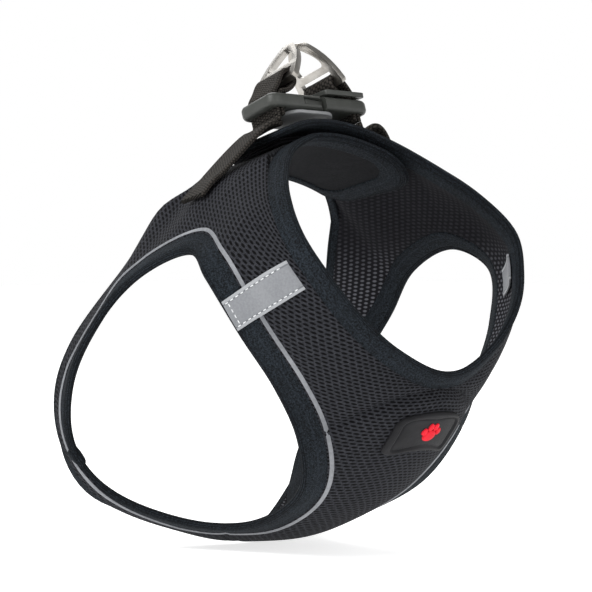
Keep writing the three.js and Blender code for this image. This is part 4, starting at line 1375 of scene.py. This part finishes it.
socket = rounded("buckle_socket", "socket", "vest", 0.4 * MM, buckle_plastic)
softened(socket, -BUCKLE_END, 12)
plug = rounded("buckle_plug", "plug_body", "plug", 0.4 * MM, buckle_plastic)
softened(plug, -30, BUCKLE_END)
rounded("buckle_prong_rear", "prong_rear_arm", "prong_rear", 0.3 * MM, buckle_plastic)
rounded("buckle_prong_front", "prong_front_arm", "prong_front", 0.3 * MM, buckle_plastic)
rounded("buckle_thumb_plate", "thumb_plate", "vest", 0.35 * MM, thumb_plastic)
rounded("strap_slider", "slider", "plug", 0.4 * MM, buckle_plastic)

# ------------------------------------------------------------------ leash rings
# Cast zinc rings, satin plated, each with a slot for the webbing and a window for the leash.
def cast_metal(name):
    look = Look(name)
    grain = look.noise(look.position(), 900, 3, 0.6)
    cloud = look.noise(look.position(), 130, 2)
    base = look.mix(cloud.ramp(0.35, 0.65), colour(160, 156, 150), colour(184, 181, 176))
    return look.finish(
        base, 0.24 + grain * 0.16, grain, 0.00006, 0.5, Metallic=1.0, Specular_IOR_Level=0.5
    )


ring_metal = cast_metal("cast_metal")
for label, body in (("right", "ring_right"), ("left", "ring_left")):
    rounded("ring_" + label, "cast_ring_" + label, body, 0.7 * MM, ring_metal, 4)

# ------------------------------------------------------------------ hook and loop
# The flaps close with a hook strip under the outer one and a loop strip on the inner one.
def loop_pile(name):
    look = Look(name)
    fuzz = look.noise(look.position(), 1400, 3, 0.7)
    return look.finish(look.mix(fuzz, colour(10, 10, 12), colour(34, 34, 38)), 0.95, fuzz, 0.0006, 0.9)


pile = loop_pile("hook_and_loop")
rounded("hook_strip", "hook_side", "vest", 0.1 * MM, pile, 2)
rounded("loop_strip", "loop_side", "vest", 0.1 * MM, pile, 2)

# ------------------------------------------------------------------ chest patch
# A moulded rubber patch with a raised rim and a groove, sewn to the middle of the chest. A plain
# paw mark stands on it in coloured rubber.
BADGE_WIDTH = 31 * MM
BADGE_HEIGHT = 17 * MM
BADGE_AT = 54.6
BADGE_CORNER = 3.2 * MM
badge_gap = (outline[56].outer - outline[57].outer).length


def chest_place(across, down, height):
    station = between(BADGE_AT + down / badge_gap)
    side = -1 if across < 0 else 1
    distance = station.length * (1 - abs(across) / (station.hole.x - station.outer.x))
    point, normal = cloth_place(station, distance, side)
    point.x = across
    return point + normal * height


def rounded_outline(angle):
    dx, dy = math.cos(angle), math.sin(angle)
    half_x, half_y = BADGE_WIDTH / 2, BADGE_HEIGHT / 2
    low, high = 0.0, BADGE_WIDTH
    for _ in range(40):
        middle = (low + high) / 2
        x, y = abs(dx * middle), abs(dy * middle)
        corner_x, corner_y = x - (half_x - BADGE_CORNER), y - (half_y - BADGE_CORNER)
        if corner_x > 0 and corner_y > 0:
            within = math.hypot(corner_x, corner_y) < BADGE_CORNER
        else:
            within = x < half_x and y < half_y
        low, high = (middle, high) if within else (low, middle)
    return low


def rubber(name, dark, light):
    look = Look(name)
    grain = look.noise(look.position(), 1300, 2)
    cloud = look.noise(look.position(), 90, 2)
    return look.finish(look.mix(cloud.ramp(0.3, 0.7), dark, light), 0.5 + grain * 0.15, grain, 0.0001, 0.5)


badge_rubber = rubber("badge_rubber", colour(30, 30, 32), colour(40, 40, 42))
mark_rubber = rubber("mark_rubber", colour(205, 22, 38), colour(226, 36, 52))


def badge_profile(rim):
    floor_height = 3.0 * MM
    lip = 0.55 * MM * smooth((2.2 * MM - rim) / (0.5 * MM)) * smooth(rim / (0.35 * MM))
    groove = 0.35 * MM * math.exp(-(((rim - 2.75 * MM) / (0.35 * MM)) ** 2))
    edge = 0.5 * MM * (1 - smooth(rim / (0.5 * MM)))
    return floor_height + lip - groove - edge


ANGLES = 120
rim_steps = [0, 0.12, 0.3, 0.6, 1.0, 1.5, 1.8, 2.1, 2.35, 2.6, 2.75, 2.9, 3.15, 3.5]
rows = []
for k in range(ANGLES):
    angle = math.tau * k / ANGLES
    reach = rounded_outline(angle)
    places = [reach - step * MM for step in rim_steps]
    places += [places[-1] * share for share in (0.85, 0.68, 0.5, 0.32, 0.15, 0)]
    row = [chest_place(place * math.cos(angle), BADGE_HEIGHT / 2 + place * math.sin(angle), height)
           for place, height in [(reach, 1.4 * MM)] + [(p, badge_profile(reach - p)) for p in places]]
    row.insert(0, chest_place(0, BADGE_HEIGHT / 2, 1.4 * MM))
    rows.append(row)
badge = outwards(grid_object("badge", rows, closed=True), 2e-6)
badge.data.materials.append(badge_rubber)
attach(badge, "vest")
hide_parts("chest_badge")

PAW = [(0, 1.1, 3.0, 2.4), (-3.3, -0.9, 1.15, 1.5), (-1.25, -2.7, 1.2, 1.6), (1.25, -2.7, 1.2, 1.6),
       (3.3, -0.9, 1.15, 1.5)]
pads = []
for x, y, half_x, half_y in PAW:
    rows = []
    for k in range(24):
        angle = math.tau * k / 24
        row = []
        for share, height in ((1, 2.8), (1, 3.25), (0.93, 3.45), (0.75, 3.6), (0.4, 3.68), (0, 3.7)):
            row.append(chest_place(
                (x + half_x * share * math.cos(angle)) * MM,
                BADGE_HEIGHT / 2 + (y + half_y * share * math.sin(angle)) * MM, height * MM
            ))
        row.insert(0, chest_place(x * MM, BADGE_HEIGHT / 2 + y * MM, 2.8 * MM))
        rows.append(row)
    pads.append(outwards(grid_object("pad", rows, closed=True), 2e-6))
paw = joined("paw_mark", pads)
paw.data.materials.append(mark_rubber)
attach(paw, "vest")
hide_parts("badge_mark")
